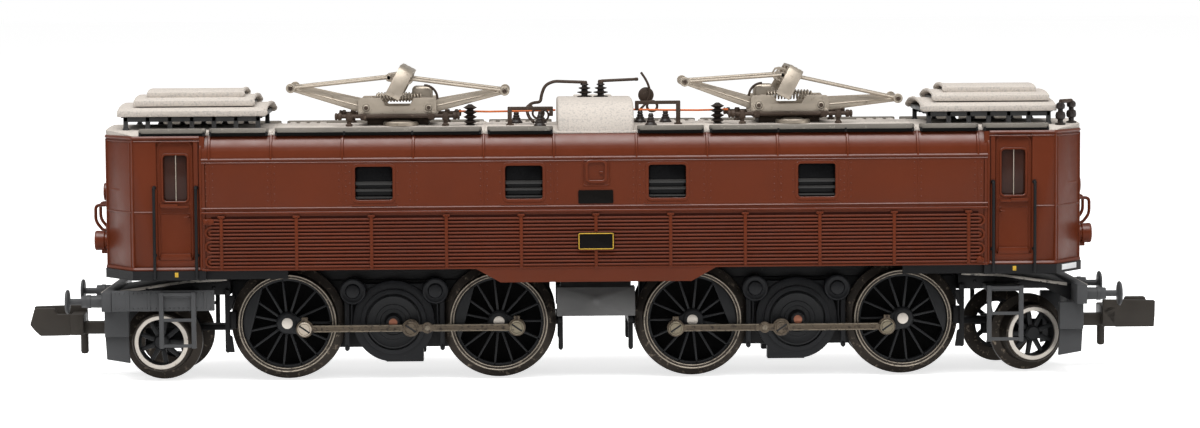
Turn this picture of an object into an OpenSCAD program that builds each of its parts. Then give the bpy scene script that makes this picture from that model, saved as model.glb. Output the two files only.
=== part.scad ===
// Model electric locomotive, N gauge, 1:160: box body, two diamond pantographs,
// two rod-driven bogies, each with a swinging carrying truck at its outer end.
// X runs along the locomotive, -Y is the near side, Z = 0 is under the flanges.

/* [Body] */
// Half length of the body at the cab fronts
front_x = 47.4; // [46:0.1:58]
// Half length of the side wall, up to the slanted cab corner
corner_x = 44.4; // [43:0.1:46]
// Half width of the flat cab front
front_y = 5.0; // [4:0.1:6]
// Half width over the cab sides
cab_y = 9.0; // [8:0.1:11]
// Half width over the machine room sides
side_y = 9.2; // [8.5:0.1:11]
// Half length of the machine room, between the cabs
room_x = 37.5; // [35:0.1:39]
// Height of the side wall's lower edge
sill_z = 11.1; // [10.8:0.1:12]
// Height of the roof edge
eave_z = 24.0; // [22:0.1:28]
// Moulded wall thickness
wall = 0.8; // [0.5:0.05:1]
// Radius of the rounded shoulder under the roof edge
shoulder_r = 3.0; // [2.4:0.1:3.4]
// Height of the shoulder's bead above the lower edge
bead_h = 10.65; // [9:0.05:13]

/* [Windows and doors] */
// Width of a machine room window
window_w = 3.6; // [2:0.1:4]
// Height of a machine room window
window_h = 3.2; // [2:0.1:3.6]
// Height of the window sills
window_z = 17.8; // [16:0.1:18.5]
// Distance of the inner windows from the middle
inner_window_x = 6.9; // [5:0.1:9]
// Distance of the outer windows from the middle
outer_window_x = 21.3; // [18:0.1:24]
// Width of the cab door window
door_window_w = 2.3; // [1.5:0.1:2.6]
// Height of the cab door window
door_window_h = 4.4; // [3:0.1:4.8]
// Distance of the cab doors from the middle
door_x = 40.35; // [39.8:0.05:40.8]
// Width of the recessed cab door
door_w = 3.6; // [3:0.1:4]
// Depth of the recess around the cab door
door_recess = 0.25; // [0.1:0.05:0.4]
// Width of a front window
front_window_w = 2.3; // [1.5:0.1:2.5]
// Height of a front window
front_window_h = 2.9; // [2:0.1:4]

/* [Cooling pipes] */
// Number of pipes on each side
pipe_count = 14; // [8:1:14]
// Distance between neighbouring pipes
pipe_pitch = 0.347; // [0.3:0.001:0.35]
// Radius of a pipe
pipe_r = 0.13; // [0.1:0.01:0.14]
// Height of the lowest pipe
pipe_z = 11.45; // [11.35:0.05:11.6]
// Number of straps along each bank
strap_count = 11; // [5:1:13]
// Distance between neighbouring straps
strap_pitch = 7.19; // [6:0.01:7.3]

/* [Roof] */
// Rise of the roof in the middle above the roof edge
roof_rise = 0.75; // [0.6:0.05:1]
// Radius of the roof's crown, across the locomotive
roof_r = 67; // [60:1:80]
// Height of the edge strips above the roof edge
strip_top = 0.72; // [0.5:0.02:1]
// Half length of the box in the middle of the roof
box_x = 3.75; // [3:0.05:4]
// Height of the middle box above the roof edge
box_h = 3.25; // [2:0.05:4]
// Distance of the resistor stacks from the middle
stack_x = 39.0; // [38:0.1:40]
// Height of the resistor covers' lower edge above the roof edge
stack_lift = 1.8; // [1.4:0.1:2.5]

/* [Pantographs] */
// Distance of each pantograph from the middle
panto_x = 19.2; // [18:0.1:21]
// Length of a lower arm between its pivots
lower_arm = 7.6; // [6:0.1:8]
// Half distance between the lower arm pivots on the base
base_pivot_x = 3.05; // [2.6:0.05:3.3]
// Height of the lower arm pivots above the roof edge
base_pivot_h = 2.4; // [2.3:0.05:3]
// Half width over the arms
arm_y = 3.1; // [2.9:0.1:3.6]
// Half length of the collector strip, across the locomotive
collector_y = 5.0; // [4:0.1:6]

/* [Drive] */
// Distance of each bogie's pivot from the middle
bogie_x = 19.72; // [19.4:0.02:21]
// Half distance between a bogie's two driven axles
axle_x = 10.29; // [10:0.01:10.6]
// Radius of a driven wheel over its flange
flange_r = 5.6; // [5:0.05:5.6]
// Radius of a driven wheel's tread
tread_r = 4.75; // [4.3:0.05:4.8]
// Half distance between the backs of a pair of wheels
wheel_back = 3.7; // [3.6:0.05:3.8]
// Width of a wheel with its flange
wheel_w = 2.2; // [1.8:0.05:2.2]
// Thickness of a wheel flange
flange_w = 0.55; // [0.4:0.05:0.6]
// Number of spokes in a driven wheel
spokes = 15; // [10:1:16]
// Radius of an axle
axle_r = 0.75; // [0.5:0.05:0.8]
// Crank radius of the driven wheels
crank = 1.8; // [1.4:0.05:1.9]
// Radius of a crank pin
pin_r = 0.4; // [0.3:0.05:0.45]
// Radius of a jackshaft disc
disc_r = 2.6; // [2.2:0.05:2.6]
// Crank angle on the near side of the left bogie, from the middle, upwards
left_crank_a = -15; // [-180:1:180]
// Crank angle on the near side of the right bogie, from the middle, upwards
right_crank_a = -22; // [-180:1:180]
// Radial running clearance of shafts and pins
run = 0.05; // [0.02:0.01:0.08]

/* [Carrying trucks] */
// Distance of a truck's pivot from the bogie's pivot
truck_pivot_x = 14.4; // [14.2:0.1:14.8]
// Length of the truck, from pivot to axle
truck_arm = 7.9; // [7.6:0.1:8]
// Radius of a carrying wheel over its flange
small_flange_r = 3.8; // [3.2:0.05:3.8]
// Radius of a carrying wheel's tread
small_tread_r = 2.9; // [2.5:0.05:3]
// Swing of the left truck as it stands
left_truck_a = -3; // [-10:1:10]
// Swing of the right truck as it stands
right_truck_a = 13; // [-13:1:13]

/* [Ends] */
// Distance of the buffer faces from the middle
buffer_x = 51.55; // [50:0.05:53]
// Half distance between the buffers
buffer_y = 5.47; // [5:0.01:6]
// Height of the buffers
buffer_z = 7.85; // [7.2:0.05:8.2]
// Radius of a buffer head
buffer_r = 1.2; // [0.9:0.05:1.3]
// Distance of the coupler's nose from the middle
coupler_x = 55.6; // [54:0.1:58]
// Height of the coupler's shank
coupler_z = 4.75; // [4.5:0.05:5]

/* [Hidden] */
$fn = 48;
over = 0.5;                       // how far a cut runs past a face

// colours
brown = "#7a3b2b";
black = "#26282b";
grey = "#6d7075";
light = "#cfc8bd";
nickel = "#b5ab94";
steel = "#6f6658";

// ---- helpers -----------------------------------------------------------
// a plate with an outline in X and Z, from y0 to y1
module plate_y(y0, y1) {
    translate([0, y1, 0]) rotate([90, 0, 0]) linear_extrude(y1 - y0) children();
}
// a bar with an outline in Y and Z, from x0 to x1
module bar_x(x0, x1) {
    translate([x0, 0, 0]) rotate([90, 0, 90]) linear_extrude(x1 - x0) children();
}
module block(lo, hi) { translate(lo) cube(hi - lo); }
module disc_y(x, z, r, y0, y1) {
    translate([x, y1, z]) rotate([90, 0, 0]) cylinder(h = y1 - y0, r = r);
}
module both_sides() {
    children();
    mirror([0, 1, 0]) children();
}
module both_ends() {
    children();
    mirror([1, 0, 0]) children();
}
module rod(p, q, r, sides = 24) {
    d = q - p;
    l = norm(d);
    translate(p)
        rotate([0, acos(d[2] / l), atan2(d[1], d[0])])
        cylinder(h = l, r = r, $fn = sides);
}
// a bent wire: straight rods that run on a little past each bend
module wire(points, r) {
    last = len(points) - 2;
    for (i = [0 : last]) {
        u = (points[i + 1] - points[i]) / norm(points[i + 1] - points[i]);
        rod(points[i] - (i > 0 ? 0.5 * r : 0) * u,
            points[i + 1] + (i < last ? 0.5 * r : 0) * u, r, 10);
    }
}

// ---- body --------------------------------------------------------------
// the slanted cab corner as a line nx * x + ny * y = c, moved in by d
corner_l = norm([front_x - corner_x, cab_y - front_y]);
corner_nx = (cab_y - front_y) / corner_l;
corner_ny = (front_x - corner_x) / corner_l;
function corner_c(d) = corner_nx * corner_x + corner_ny * cab_y - d;
function corner_at_y(d, y) = (corner_c(d) - corner_ny * y) / corner_nx;
function corner_at_x(d, x) = (corner_c(d) - corner_nx * x) / corner_ny;
// a quarter of the body's plan, moved in by d
function plan_quarter(d) = [
    [front_x - d, corner_at_x(d, front_x - d)],
    [corner_at_y(d, cab_y - d), cab_y - d]
];
module plan(d) {
    q = plan_quarter(d);
    polygon([
        [q[0][0], -q[0][1]], [q[0][0], q[0][1]], [q[1][0], q[1][1]],
        [-q[1][0], q[1][1]], [-q[0][0], q[0][1]], [-q[0][0], -q[0][1]],
        [-q[1][0], -q[1][1]], [q[1][0], -q[1][1]]
    ]);
}
bead_z = sill_z + bead_h;
// the shoulder turns in from the bead up to the roof edge
shoulder_a = asin(min(1, (eave_z - bead_z) / shoulder_r));
function shoulder(r) = [
    for (i = [0 : 8])
        [side_y - shoulder_r + r * cos(shoulder_a * i / 8), bead_z + r * sin(shoulder_a * i / 8)]
];
top_y = side_y - shoulder_r + shoulder_r * cos(shoulder_a);
bulge_x = 9.2;                    // half length of the deep part of the sill
bulge_run = 2.4;                  // length of its slanted ends
bulge_z = sill_z - 1.35;
module side_wall() {
    difference() {
        bar_x(-room_x, room_x)
            polygon(concat([[side_y, bulge_z]], shoulder(shoulder_r),
                [[top_y - wall, eave_z]],
                [for (i = [7 : -1 : 0]) shoulder(shoulder_r - wall)[i]],
                [[side_y - wall, bulge_z]]));
        both_ends() plate_y(0, side_y + over)
            polygon([
                [bulge_x, bulge_z - over], [bulge_x, bulge_z],
                [bulge_x + bulge_run, sill_z], [room_x + over, sill_z],
                [room_x + over, bulge_z - over]
            ]);
    }
}
module window_cut(x, z, w, h, y0, y1) { block([x - w / 2, y0, z], [x + w / 2, y1, z + h]); }
door_z = sill_z + 1.0;
door_h = 12.0;
door_window_z = sill_z + 6.7;
front_window_z = sill_z + 8.4;
front_window_y = 3.4;              // distance of the outer front windows from the middle
module front_windows(x0, x1) {
    for (y = [-front_window_y, 0, front_window_y])
        block([x0, y - front_window_w / 2, front_window_z],
              [x1, y + front_window_w / 2, front_window_z + front_window_h]);
}
module body_shell() {
    color(brown) {
        difference() {
            union() {
                // cab walls
                difference() {
                    translate([0, 0, sill_z]) linear_extrude(eave_z - sill_z) plan(0);
                    translate([0, 0, sill_z - over]) linear_extrude(eave_z - sill_z + 2 * over)
                        plan(wall);
                    block([-room_x, -cab_y - over, sill_z - over],
                          [room_x, cab_y + over, eave_z + over]);
                }
                both_sides() side_wall();
            }
            for (x = [inner_window_x, outer_window_x, -inner_window_x, -outer_window_x])
                window_cut(x, window_z, window_w, window_h, -side_y - over, side_y + over);
            for (x = [-door_x, door_x]) {
                window_cut(x, door_window_z, door_window_w, door_window_h,
                           -cab_y - over, cab_y + over);
                both_sides() window_cut(x, door_z, door_w, door_h,
                                        cab_y - door_recess, cab_y + over);
            }
            both_ends() front_windows(front_x - wall - over, front_x + over);
        }
    }
}
// panes stand in the middle of the wall, face to face with the window edges
pane = 0.3;
module glazing() {
    color([0.1, 0.1, 0.12, 0.6]) {
        both_sides() {
            for (x = [inner_window_x, outer_window_x, -inner_window_x, -outer_window_x])
                window_cut(x, window_z, window_w, window_h,
                           side_y - wall, side_y - wall + pane);
            for (x = [-door_x, door_x])
                window_cut(x, door_window_z, door_window_w, door_window_h,
                           cab_y - wall, cab_y - wall + pane);
        }
        both_ends() front_windows(front_x - wall, front_x - wall + pane);
    }
}
// the bank of cooling pipes lies on the machine room side
pipe_end = room_x - 0.3;
strap_w = 0.3;
strap_t = 0.3;
module cooling_pipes() {
    color(brown) both_sides() {
        for (i = [0 : pipe_count - 1])
            translate([-pipe_end, side_y + pipe_r, pipe_z + i * pipe_pitch])
                rotate([0, 90, 0]) cylinder(h = 2 * pipe_end, r = pipe_r, $fn = 16);
        for (i = [0 : strap_count - 1]) {
            x = (i - (strap_count - 1) / 2) * strap_pitch;
            block([x - strap_w / 2, side_y, pipe_z - 0.2],
                  [x + strap_w / 2, side_y + strap_t,
                   pipe_z + (pipe_count - 1) * pipe_pitch + 0.25]);
        }
    }
}
rail_r = 0.17;
rail_gap = 0.42;                  // from the cab side to a rail's axis
skirt_out = 0.2;                  // how far the skirt stands out past the cab walls
rail_top = sill_z + 8.0;
skirt_z = sill_z - 0.9;
module cab_handrails() {
    color(black) both_ends() both_sides() for (x = [door_x - 2.0, door_x + 2.0]) {
        wire([[x, cab_y, rail_top], [x, cab_y + rail_gap, rail_top],
              [x, cab_y + rail_gap, skirt_z + 0.2], [x, cab_y + skirt_out, skirt_z + 0.2]], rail_r);
    }
}
loop_y = 1.8;
loop_z = sill_z + 3.4;
loop_h = 2.5;
loop_out = 1.55;
module front_handrails() {
    color(brown) both_ends() both_sides()
        wire([[front_x, loop_y, loop_z + loop_h], [front_x + loop_out, loop_y, loop_z + loop_h],
              [front_x + loop_out, loop_y, loop_z + 0.9],
              [front_x + loop_out - 0.7, loop_y, loop_z], [front_x, loop_y, loop_z]], 0.17);
}
lamp_y = 5.0;
lamp_z = sill_z + 2.6;
lamp_r = 0.97;
lamp_l = 1.2;
module lamp(y, z, r, l) {
    translate([front_x, y, z]) rotate([0, 90, 0]) {
        cylinder(h = l, r = r);
        translate([0, 0, l]) cylinder(h = 0.15, r = r * 0.8);
    }
}
module headlamps() {
    color(brown) both_ends() {
        lamp(lamp_y - lamp_r, lamp_z, lamp_r, lamp_l);
        lamp(-lamp_y + lamp_r, lamp_z, lamp_r, lamp_l);
        lamp(0, sill_z + 7.1, 0.88, 0.8);
    }
}
module blank_plates() {
    color("#15120e") both_sides() {
        block([-1.7, side_y, sill_z + 6.2], [1.7, side_y + 0.12, sill_z + 7.5]);
        block([-1.8, side_y + strap_t, sill_z + 1.8], [1.8, side_y + strap_t + 0.15, sill_z + 3.5]);
    }
}

// ---- underframe and inside ---------------------------------------------
floor_z = 2 * flange_r + 0.25;    // the floor clears the driven wheels
floor_t = 0.5;
pivot_r = 1.5;                    // bogie pivot pin
pivot_top = 2.0;                  // how far it stands above the floor
sill_bar_x = 29.7;                // where the black side bars end
module underframe() {
    color(black) difference() {
        union() {
            block([-room_x, -side_y + wall, floor_z], [room_x, side_y - wall, floor_z + floor_t]);
            both_ends() intersection() {
                translate([0, 0, floor_z]) linear_extrude(floor_t) plan(wall);
                block([room_x - 0.1, -cab_y, floor_z], [front_x, cab_y, floor_z + floor_t]);
            }
            // skirt below the cabs
            both_ends() difference() {
                translate([0, 0, skirt_z]) linear_extrude(floor_z + floor_t - skirt_z) plan(wall);
                translate([0, 0, skirt_z - over]) linear_extrude(floor_z - skirt_z + over)
                    plan(wall + 0.6);
                block([-front_x, -cab_y, skirt_z - over], [room_x, cab_y, floor_z + 1]);
            }
            both_ends() difference() {
                translate([0, 0, skirt_z]) linear_extrude(sill_z - skirt_z) plan(-skirt_out);
                translate([0, 0, skirt_z - over]) linear_extrude(sill_z - skirt_z + 2 * over)
                    plan(wall + 0.3);
                block([-front_x - over, -cab_y - over, skirt_z - over],
                      [room_x, cab_y + over, floor_z + 1]);
            }
            // bars below the machine room's sides
            both_ends() both_sides()
                block([sill_bar_x, side_y - wall - 0.4, skirt_z],
                      [room_x, side_y - wall, floor_z + floor_t]);
        }
        for (x = [-bogie_x, bogie_x])
            translate([x, 0, floor_z - over]) cylinder(h = floor_t + 2 * over, r = pivot_r + run);
    }
}
box_y = 7.0;
module centre_box() {
    color(grey) {
        // the middle is narrower, clear of the inner wheels as the bogies swing
        both_sides() block([-3.8, 5.0, 6.2], [3.8, box_y, 9.0]);
        block([-3.0, -box_y + 0.1, 6.3], [3.0, box_y - 0.1, 8.9]);
        block([-3.4, -box_y + 0.4, 8.8], [3.4, box_y - 0.4, floor_z]);
        both_sides() disc_y(0, 7.7, 0.5, box_y, box_y + 0.2);
    }
}
module chassis_block() {
    color("#8a8a8c") difference() {
        block([-34.5, -6.6, floor_z + floor_t], [34.5, 6.6, 22.0]);
        for (x = [-bogie_x, bogie_x])
            translate([x, 0, floor_z]) cylinder(h = floor_t + pivot_top + 0.2, r = pivot_r + run);
    }
}

// ---- roof --------------------------------------------------------------
module roof_crown(z) {
    translate([-front_x - 1, 0, z - roof_r]) rotate([0, 90, 0])
        cylinder(h = 2 * front_x + 2, r = roof_r, $fn = 1440);
}
module roof() {
    color(light) intersection() {
        union() {
            translate([0, 0, eave_z]) linear_extrude(roof_rise + 1) difference() {
                plan(0);
                square([2 * room_x, 30], center = true);
            }
            block([-room_x, -top_y, eave_z], [room_x, top_y, eave_z + roof_rise + 1]);
        }
        roof_crown(eave_z + roof_rise);
    }
}
strips = [[-43.8, -37.4], [-37.1, -31.4], [-30.8, -10.9], [-10.4, -4.05],
          [4.05, 10.5], [11.0, 30.8], [31.3, 37.0], [37.4, 43.8]];
strip_out = 0.45;                 // how far a strip stands out past the roof edge
strip_w = 0.9;
module roof_edge_strips() {
    color(grey) difference() {
        both_sides() for (s = strips) {
            block([s[0], top_y + strip_out - strip_w, eave_z + 0.3],
                  [s[1], top_y + strip_out, eave_z + strip_top]);
            block([s[0], top_y + strip_out - strip_w, eave_z + 0.1],
                  [s[1], top_y - 0.1, eave_z + strip_top]);
        }
        roof_crown(eave_z + roof_rise);
    }
}
module roof_box() {
    color(light) difference() {
        bar_x(-box_x, box_x) polygon([
            [-top_y, eave_z], [-top_y + 0.3, eave_z + box_h - 1.3],
            [-top_y + 1.7, eave_z + box_h - 0.3], [-top_y + 3.5, eave_z + box_h],
            [top_y - 3.5, eave_z + box_h], [top_y - 1.7, eave_z + box_h - 0.3],
            [top_y - 0.3, eave_z + box_h - 1.3], [top_y, eave_z]
        ]);
        roof_crown(eave_z + roof_rise);
    }
}
// one cover of a resistor stack: a shallow arch of sheet, half length l, half width w
cover_t = 0.3;
cover_rim = 0.55;
module cover(l, w, rise) {
    bar_x(-l, l) polygon([
        [-w, 0], [-w, cover_rim], [-w * 0.45, cover_rim + rise], [w * 0.45, cover_rim + rise],
        [w, cover_rim], [w, 0], [w - cover_t, 0], [w - cover_t, cover_rim - cover_t * 0.6],
        [w * 0.45, cover_rim + rise - cover_t], [-w * 0.45, cover_rim + rise - cover_t],
        [-w + cover_t, cover_rim - cover_t * 0.6], [-w + cover_t, 0]
    ]);
}
tiers = [[7.15, 6.2, 0.6], [6.1, 4.9, 0.5], [5.05, 3.5, 0.35]];
tier_z = [0, 0.95, 1.8];
stack_z = eave_z + stack_lift;
stacks = [[-stack_x, 0], [stack_x - 0.6, 0.6]];   // middle, and how much shorter at each end
module resistor_covers() {
    color(light) for (s = stacks) translate([s[0], 0, stack_z]) for (i = [0 : 2]) {
        translate([0, 0, tier_z[i]]) cover(tiers[i][0] - s[1], tiers[i][1], tiers[i][2]);
        // a spacer carries the next cover
        if (i < 2)
            block([-4.5, -1.2, tier_z[i] + cover_rim + tiers[i][2] - 0.1],
                  [4.5, 1.2, tier_z[i + 1] + cover_rim + tiers[i + 1][2] - 0.1]);
    }
}
post_pitch = 2.13;
module resistor_grids() {
    color(black) for (s = stacks) difference() {
        translate([s[0], 0, 0]) {
            // the grid box under the lowest cover, on its posts
            block([-6.6 + s[1], -5.6, stack_z - 0.5], [6.6 - s[1], 5.6, stack_z]);
            block([-6.2 + s[1], -5.4, stack_z], [6.2 - s[1], 5.4, stack_z + 0.35]);
            block([-5.2, -2.4, stack_z], [5.2, 2.4, stack_z + cover_rim + tiers[0][2] - cover_t]);
            both_sides() for (i = [-3 : 3])
                block([i * post_pitch * (1 - s[1] / 6) - 0.25, 5.0, eave_z],
                      [i * post_pitch * (1 - s[1] / 6) + 0.25, 5.6, stack_z]);
        }
        roof_crown(eave_z + roof_rise);
    }
}

module insulator(x, y, z0, z1, r, sheds) {
    pitch = (z1 - z0) / (sheds + 0.5);
    translate([x, y, z0]) {
        cylinder(h = z1 - z0, r = r * 0.5, $fn = 24);
        for (i = [0 : sheds - 1])
            translate([0, 0, (i + 0.25) * pitch]) cylinder(h = pitch * 0.45, r = r, $fn = 24);
    }
}
function crown_z(y) = eave_z + roof_rise - roof_r + sqrt(roof_r * roof_r - y * y);
box_top = eave_z + box_h;
line_y = -2.5;                    // the roof line runs a little to the near side
line_z = eave_z + 2.0;
post_x = 12.1;                    // line posts beside the pantographs
contact_z = box_top + 1.45;       // conductors above the middle box
end_post = [[45.3, -6.3], [46.6, -4.9]];
module roof_insulators() {
    color("#4a423c") {
        for (x = [-0.85, 0.75]) insulator(x, 0, box_top, contact_z - 0.2, 0.55, 2);
        for (x = [-post_x, post_x])
            insulator(x, line_y - 0.8, crown_z(line_y - 0.8), line_z + 0.6, 0.5, 4);
        for (x = [-7.6, -5.2, 4.6, 7.1]) insulator(x, -1.0, crown_z(0), line_z - 0.3, 0.45, 2);
        for (x = [-5.3, 5.5]) insulator(x, -5.0, crown_z(5.0), line_z - 0.3, 0.55, 2);
        for (p = end_post) insulator(p[0], p[1], crown_z(p[1]), eave_z + 2.6, 0.45, 3);
    }
}
pipe_r2 = 0.17;
module roof_conductors() {
    color("#5d5048") {
        wire([[-0.85, 0, contact_z - 0.2], [-0.85, 0, contact_z - 0.1], [-3.9, 0, contact_z],
              [-4.7, 0, contact_z - 0.3], [-5.1, 0, contact_z - 1.3],
              [-5.2, 0, contact_z - 2.0], [-6.3, -1.0, contact_z - 2.2]], pipe_r2);
        wire([[0.75, 0, contact_z - 0.2], [0.75, 0, contact_z + 0.1],
              [4.4, 0, contact_z + 0.25]], pipe_r2);
        wire([[4.7, -1.0, contact_z + 0.95], [5.15, -1.0, contact_z + 0.3],
              [5.5, -1.0, contact_z - 0.4], [5.6, -1.0, contact_z - 1.3],
              [4.6, -1.0, line_z], [4.6, -1.0, line_z - 0.3]], 0.13);
        rod([end_post[0][0], end_post[0][1], eave_z + 2.8],
            [end_post[1][0], end_post[1][1], eave_z + 2.8], 0.2);
    }
}
module red_conductor() {
    color("#c4552d") both_ends() rod([box_x, line_y, line_z], [panto_x - 6, line_y, line_z], 0.1);
}
bracket_y = -3.6;
module roof_brackets() {
    color("#3f3a37") {
        block([-8.4, bracket_y - 0.2, eave_z + 2.1], [-4.0, bracket_y + 0.2, eave_z + 2.45]);
        block([-8.4, bracket_y - 0.2, crown_z(bracket_y)],
              [-8.0, bracket_y + 0.2, eave_z + 2.1]);
        block([-4.4, bracket_y - 0.2, eave_z + 1.5], [-4.0, bracket_y + 0.2, eave_z + 2.1]);
        block([4.0, bracket_y - 0.2, eave_z + 2.6], [8.5, bracket_y + 0.2, eave_z + 2.95]);
        block([8.1, bracket_y - 0.2, crown_z(bracket_y)], [8.5, bracket_y + 0.2, eave_z + 2.6]);
        block([4.0, bracket_y - 0.2, eave_z + 2.0], [4.4, bracket_y + 0.2, eave_z + 2.6]);
    }
}

// ---- pantographs -------------------------------------------------------
pivot_z = eave_z + base_pivot_h;
base_z = eave_z + 1.6;
base_l = 3.85;
base_y = 3.4;
beam_l = 5.8;
beam_y = 3.75;
beam_r = 0.22;
shaft_r = 0.3;
module pantograph_frame() {
    both_sides() {
        rod([-beam_l, beam_y, base_z], [beam_l, beam_y, base_z], beam_r);
        for (x = [-beam_l, beam_l]) rod([x - 0.3, beam_y, base_z], [x + 0.3, beam_y, base_z], 0.38);
        for (x = [-4.7, 4.7]) translate([x, beam_y, crown_z(beam_y)])
            cylinder(h = base_z - crown_z(beam_y), r = 0.35, $fn = 24);
    }
    // cross bars carry the base
    for (x = [-3.3, 3.3]) block([x - 0.3, -beam_y, base_z - 0.4], [x + 0.3, beam_y, base_z]);
    // plinth between the cross bars and the roof
    block([-3.0, -2.4, eave_z + 0.5], [3.0, 2.4, base_z - 0.3]);
    block([-3.3, -2.4, base_z - 0.5], [3.3, 2.4, base_z - 0.3]);
}
module pantograph_beams() {
    color(black) difference() {
        both_ends() translate([panto_x, 0, 0]) pantograph_frame();
        roof_crown(eave_z + roof_rise);
    }
}
module pantograph_base(x) {
    color(nickel) translate([x, 0, 0]) difference() {
        union() {
            block([-base_l, -base_y + 0.4, base_z], [base_l, base_y - 0.4, base_z + 0.25]);
            both_sides() plate_y(base_y - 0.4, base_y) polygon([
                [-base_l, base_z], [base_l, base_z], [base_l, base_z + 1.8],
                [1.5, base_z + 1.8], [1.0, base_z + 0.95], [-1.0, base_z + 0.95],
                [-1.5, base_z + 1.8], [-base_l, base_z + 1.8]
            ]);
        }
        for (px = [-base_pivot_x, base_pivot_x])
            disc_y(px, pivot_z, shaft_r + run, -base_y - over, base_y + over);
    }
}
// what follows stands at an arm's lower pivot, dir -1 or 1 along X, raised by a
module at_base(x, dir, a) {
    if (dir > 0) translate([x + base_pivot_x, 0, pivot_z]) rotate([0, -a, 0]) children();
    else translate([x - base_pivot_x, 0, pivot_z]) rotate([0, a, 0]) mirror([1, 0, 0]) children();
}
module lower_arm_piece(x, dir, a) {
    color(nickel) at_base(x, dir, a) {
        both_sides() plate_y(2.45, 2.75) polygon([
            [-0.4, -0.35], [0.9, -0.6], [lower_arm, -0.3], [lower_arm + 0.3, 0],
            [lower_arm, 0.3], [0.9, 0.6], [-0.4, 0.35]
        ]);
        disc_y(0, 0, shaft_r, -base_y - 0.15, base_y + 0.15);
        disc_y(lower_arm, 0, 0.24, -arm_y - 0.2, arm_y + 0.2);
    }
}
function knuckle(x, dir, a) = [
    x + dir * (base_pivot_x + lower_arm * cos(a)), pivot_z + lower_arm * sin(a)
];
eye_r = 0.48;
module upper_arm_piece(k, h) {
    l = norm(h - k);
    u = (h - k) / l;
    color(nickel) {
        both_sides() {
            difference() {
                union() {
                    disc_y(k[0], k[1], eye_r, arm_y - 0.18, arm_y + 0.18);
                    rod([k[0] + u[0] * 0.3, arm_y, k[1] + u[1] * 0.3], [h[0], arm_y, h[1]], 0.17);
                }
                disc_y(k[0], k[1], 0.24 + run, arm_y - 1, arm_y + 1);
            }
        }
        disc_y(h[0], h[1], 0.22, -arm_y - 0.1, arm_y + 0.1);
    }
}
// how each pantograph stands: arm angles, then the collector's pivots and lean
left_arm_a = [15, 12];            // outer, inner
right_arm_a = [4.5, 18];
left_head = [[-0.85, 2.95], [0.85, 2.85]];   // outer, inner pivot, from the lower pivots' middle
right_head = [[0.9, 2.75], [-0.7, 2.95]];
left_lean = 23;
right_lean = 17;
function head_point(x, h) = [x + h[0], pivot_z + h[1]];
strip_l = 0.75;                   // half width of the collector strip
horn_y = 3.6;                     // where the strip bends down into its horns
plate_y0 = 1.9;                   // inner and outer faces of the collector's side plates
plate_y1 = 2.3;
open_r = 0.5;                     // hole around the inner arm's shaft, with room to play
module collector(h, h_in, lean) {
    d = h_in - h;
    color(nickel) translate([h[0], 0, h[1]]) {
        difference() {
            union() {
                rotate([0, lean, 0]) both_sides() plate_y(plate_y0, plate_y1) polygon([
                    [-0.5, -0.5], [0.5, -0.5], [strip_l, 1.0], [-strip_l, 1.0]
                ]);
                // links to the inner arm's shaft
                rotate([0, -atan2(d[1], d[0]), 0]) both_sides() {
                    block([-0.45, plate_y0 - 0.4, -0.45], [norm(d), plate_y0 + 0.1, 0.35]);
                    disc_y(norm(d), 0, open_r + 0.25, plate_y0 - 0.4, plate_y0 + 0.1);
                }
            }
            disc_y(0, 0, 0.22 + run, -3, 3);
            disc_y(d[0], d[1], open_r, -3, 3);
        }
        rotate([0, lean, 0]) {
            block([-strip_l, -horn_y, 0.9], [strip_l, horn_y, 1.2]);
            both_sides() bar_x(-strip_l, strip_l) polygon([
                [horn_y - 0.1, 0.9], [collector_y - 0.35, -1.5], [collector_y - 0.35, -2.0],
                [collector_y, -2.0], [collector_y, -1.4], [horn_y, 1.2], [horn_y - 0.1, 1.2]
            ]);
        }
    }
}

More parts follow.
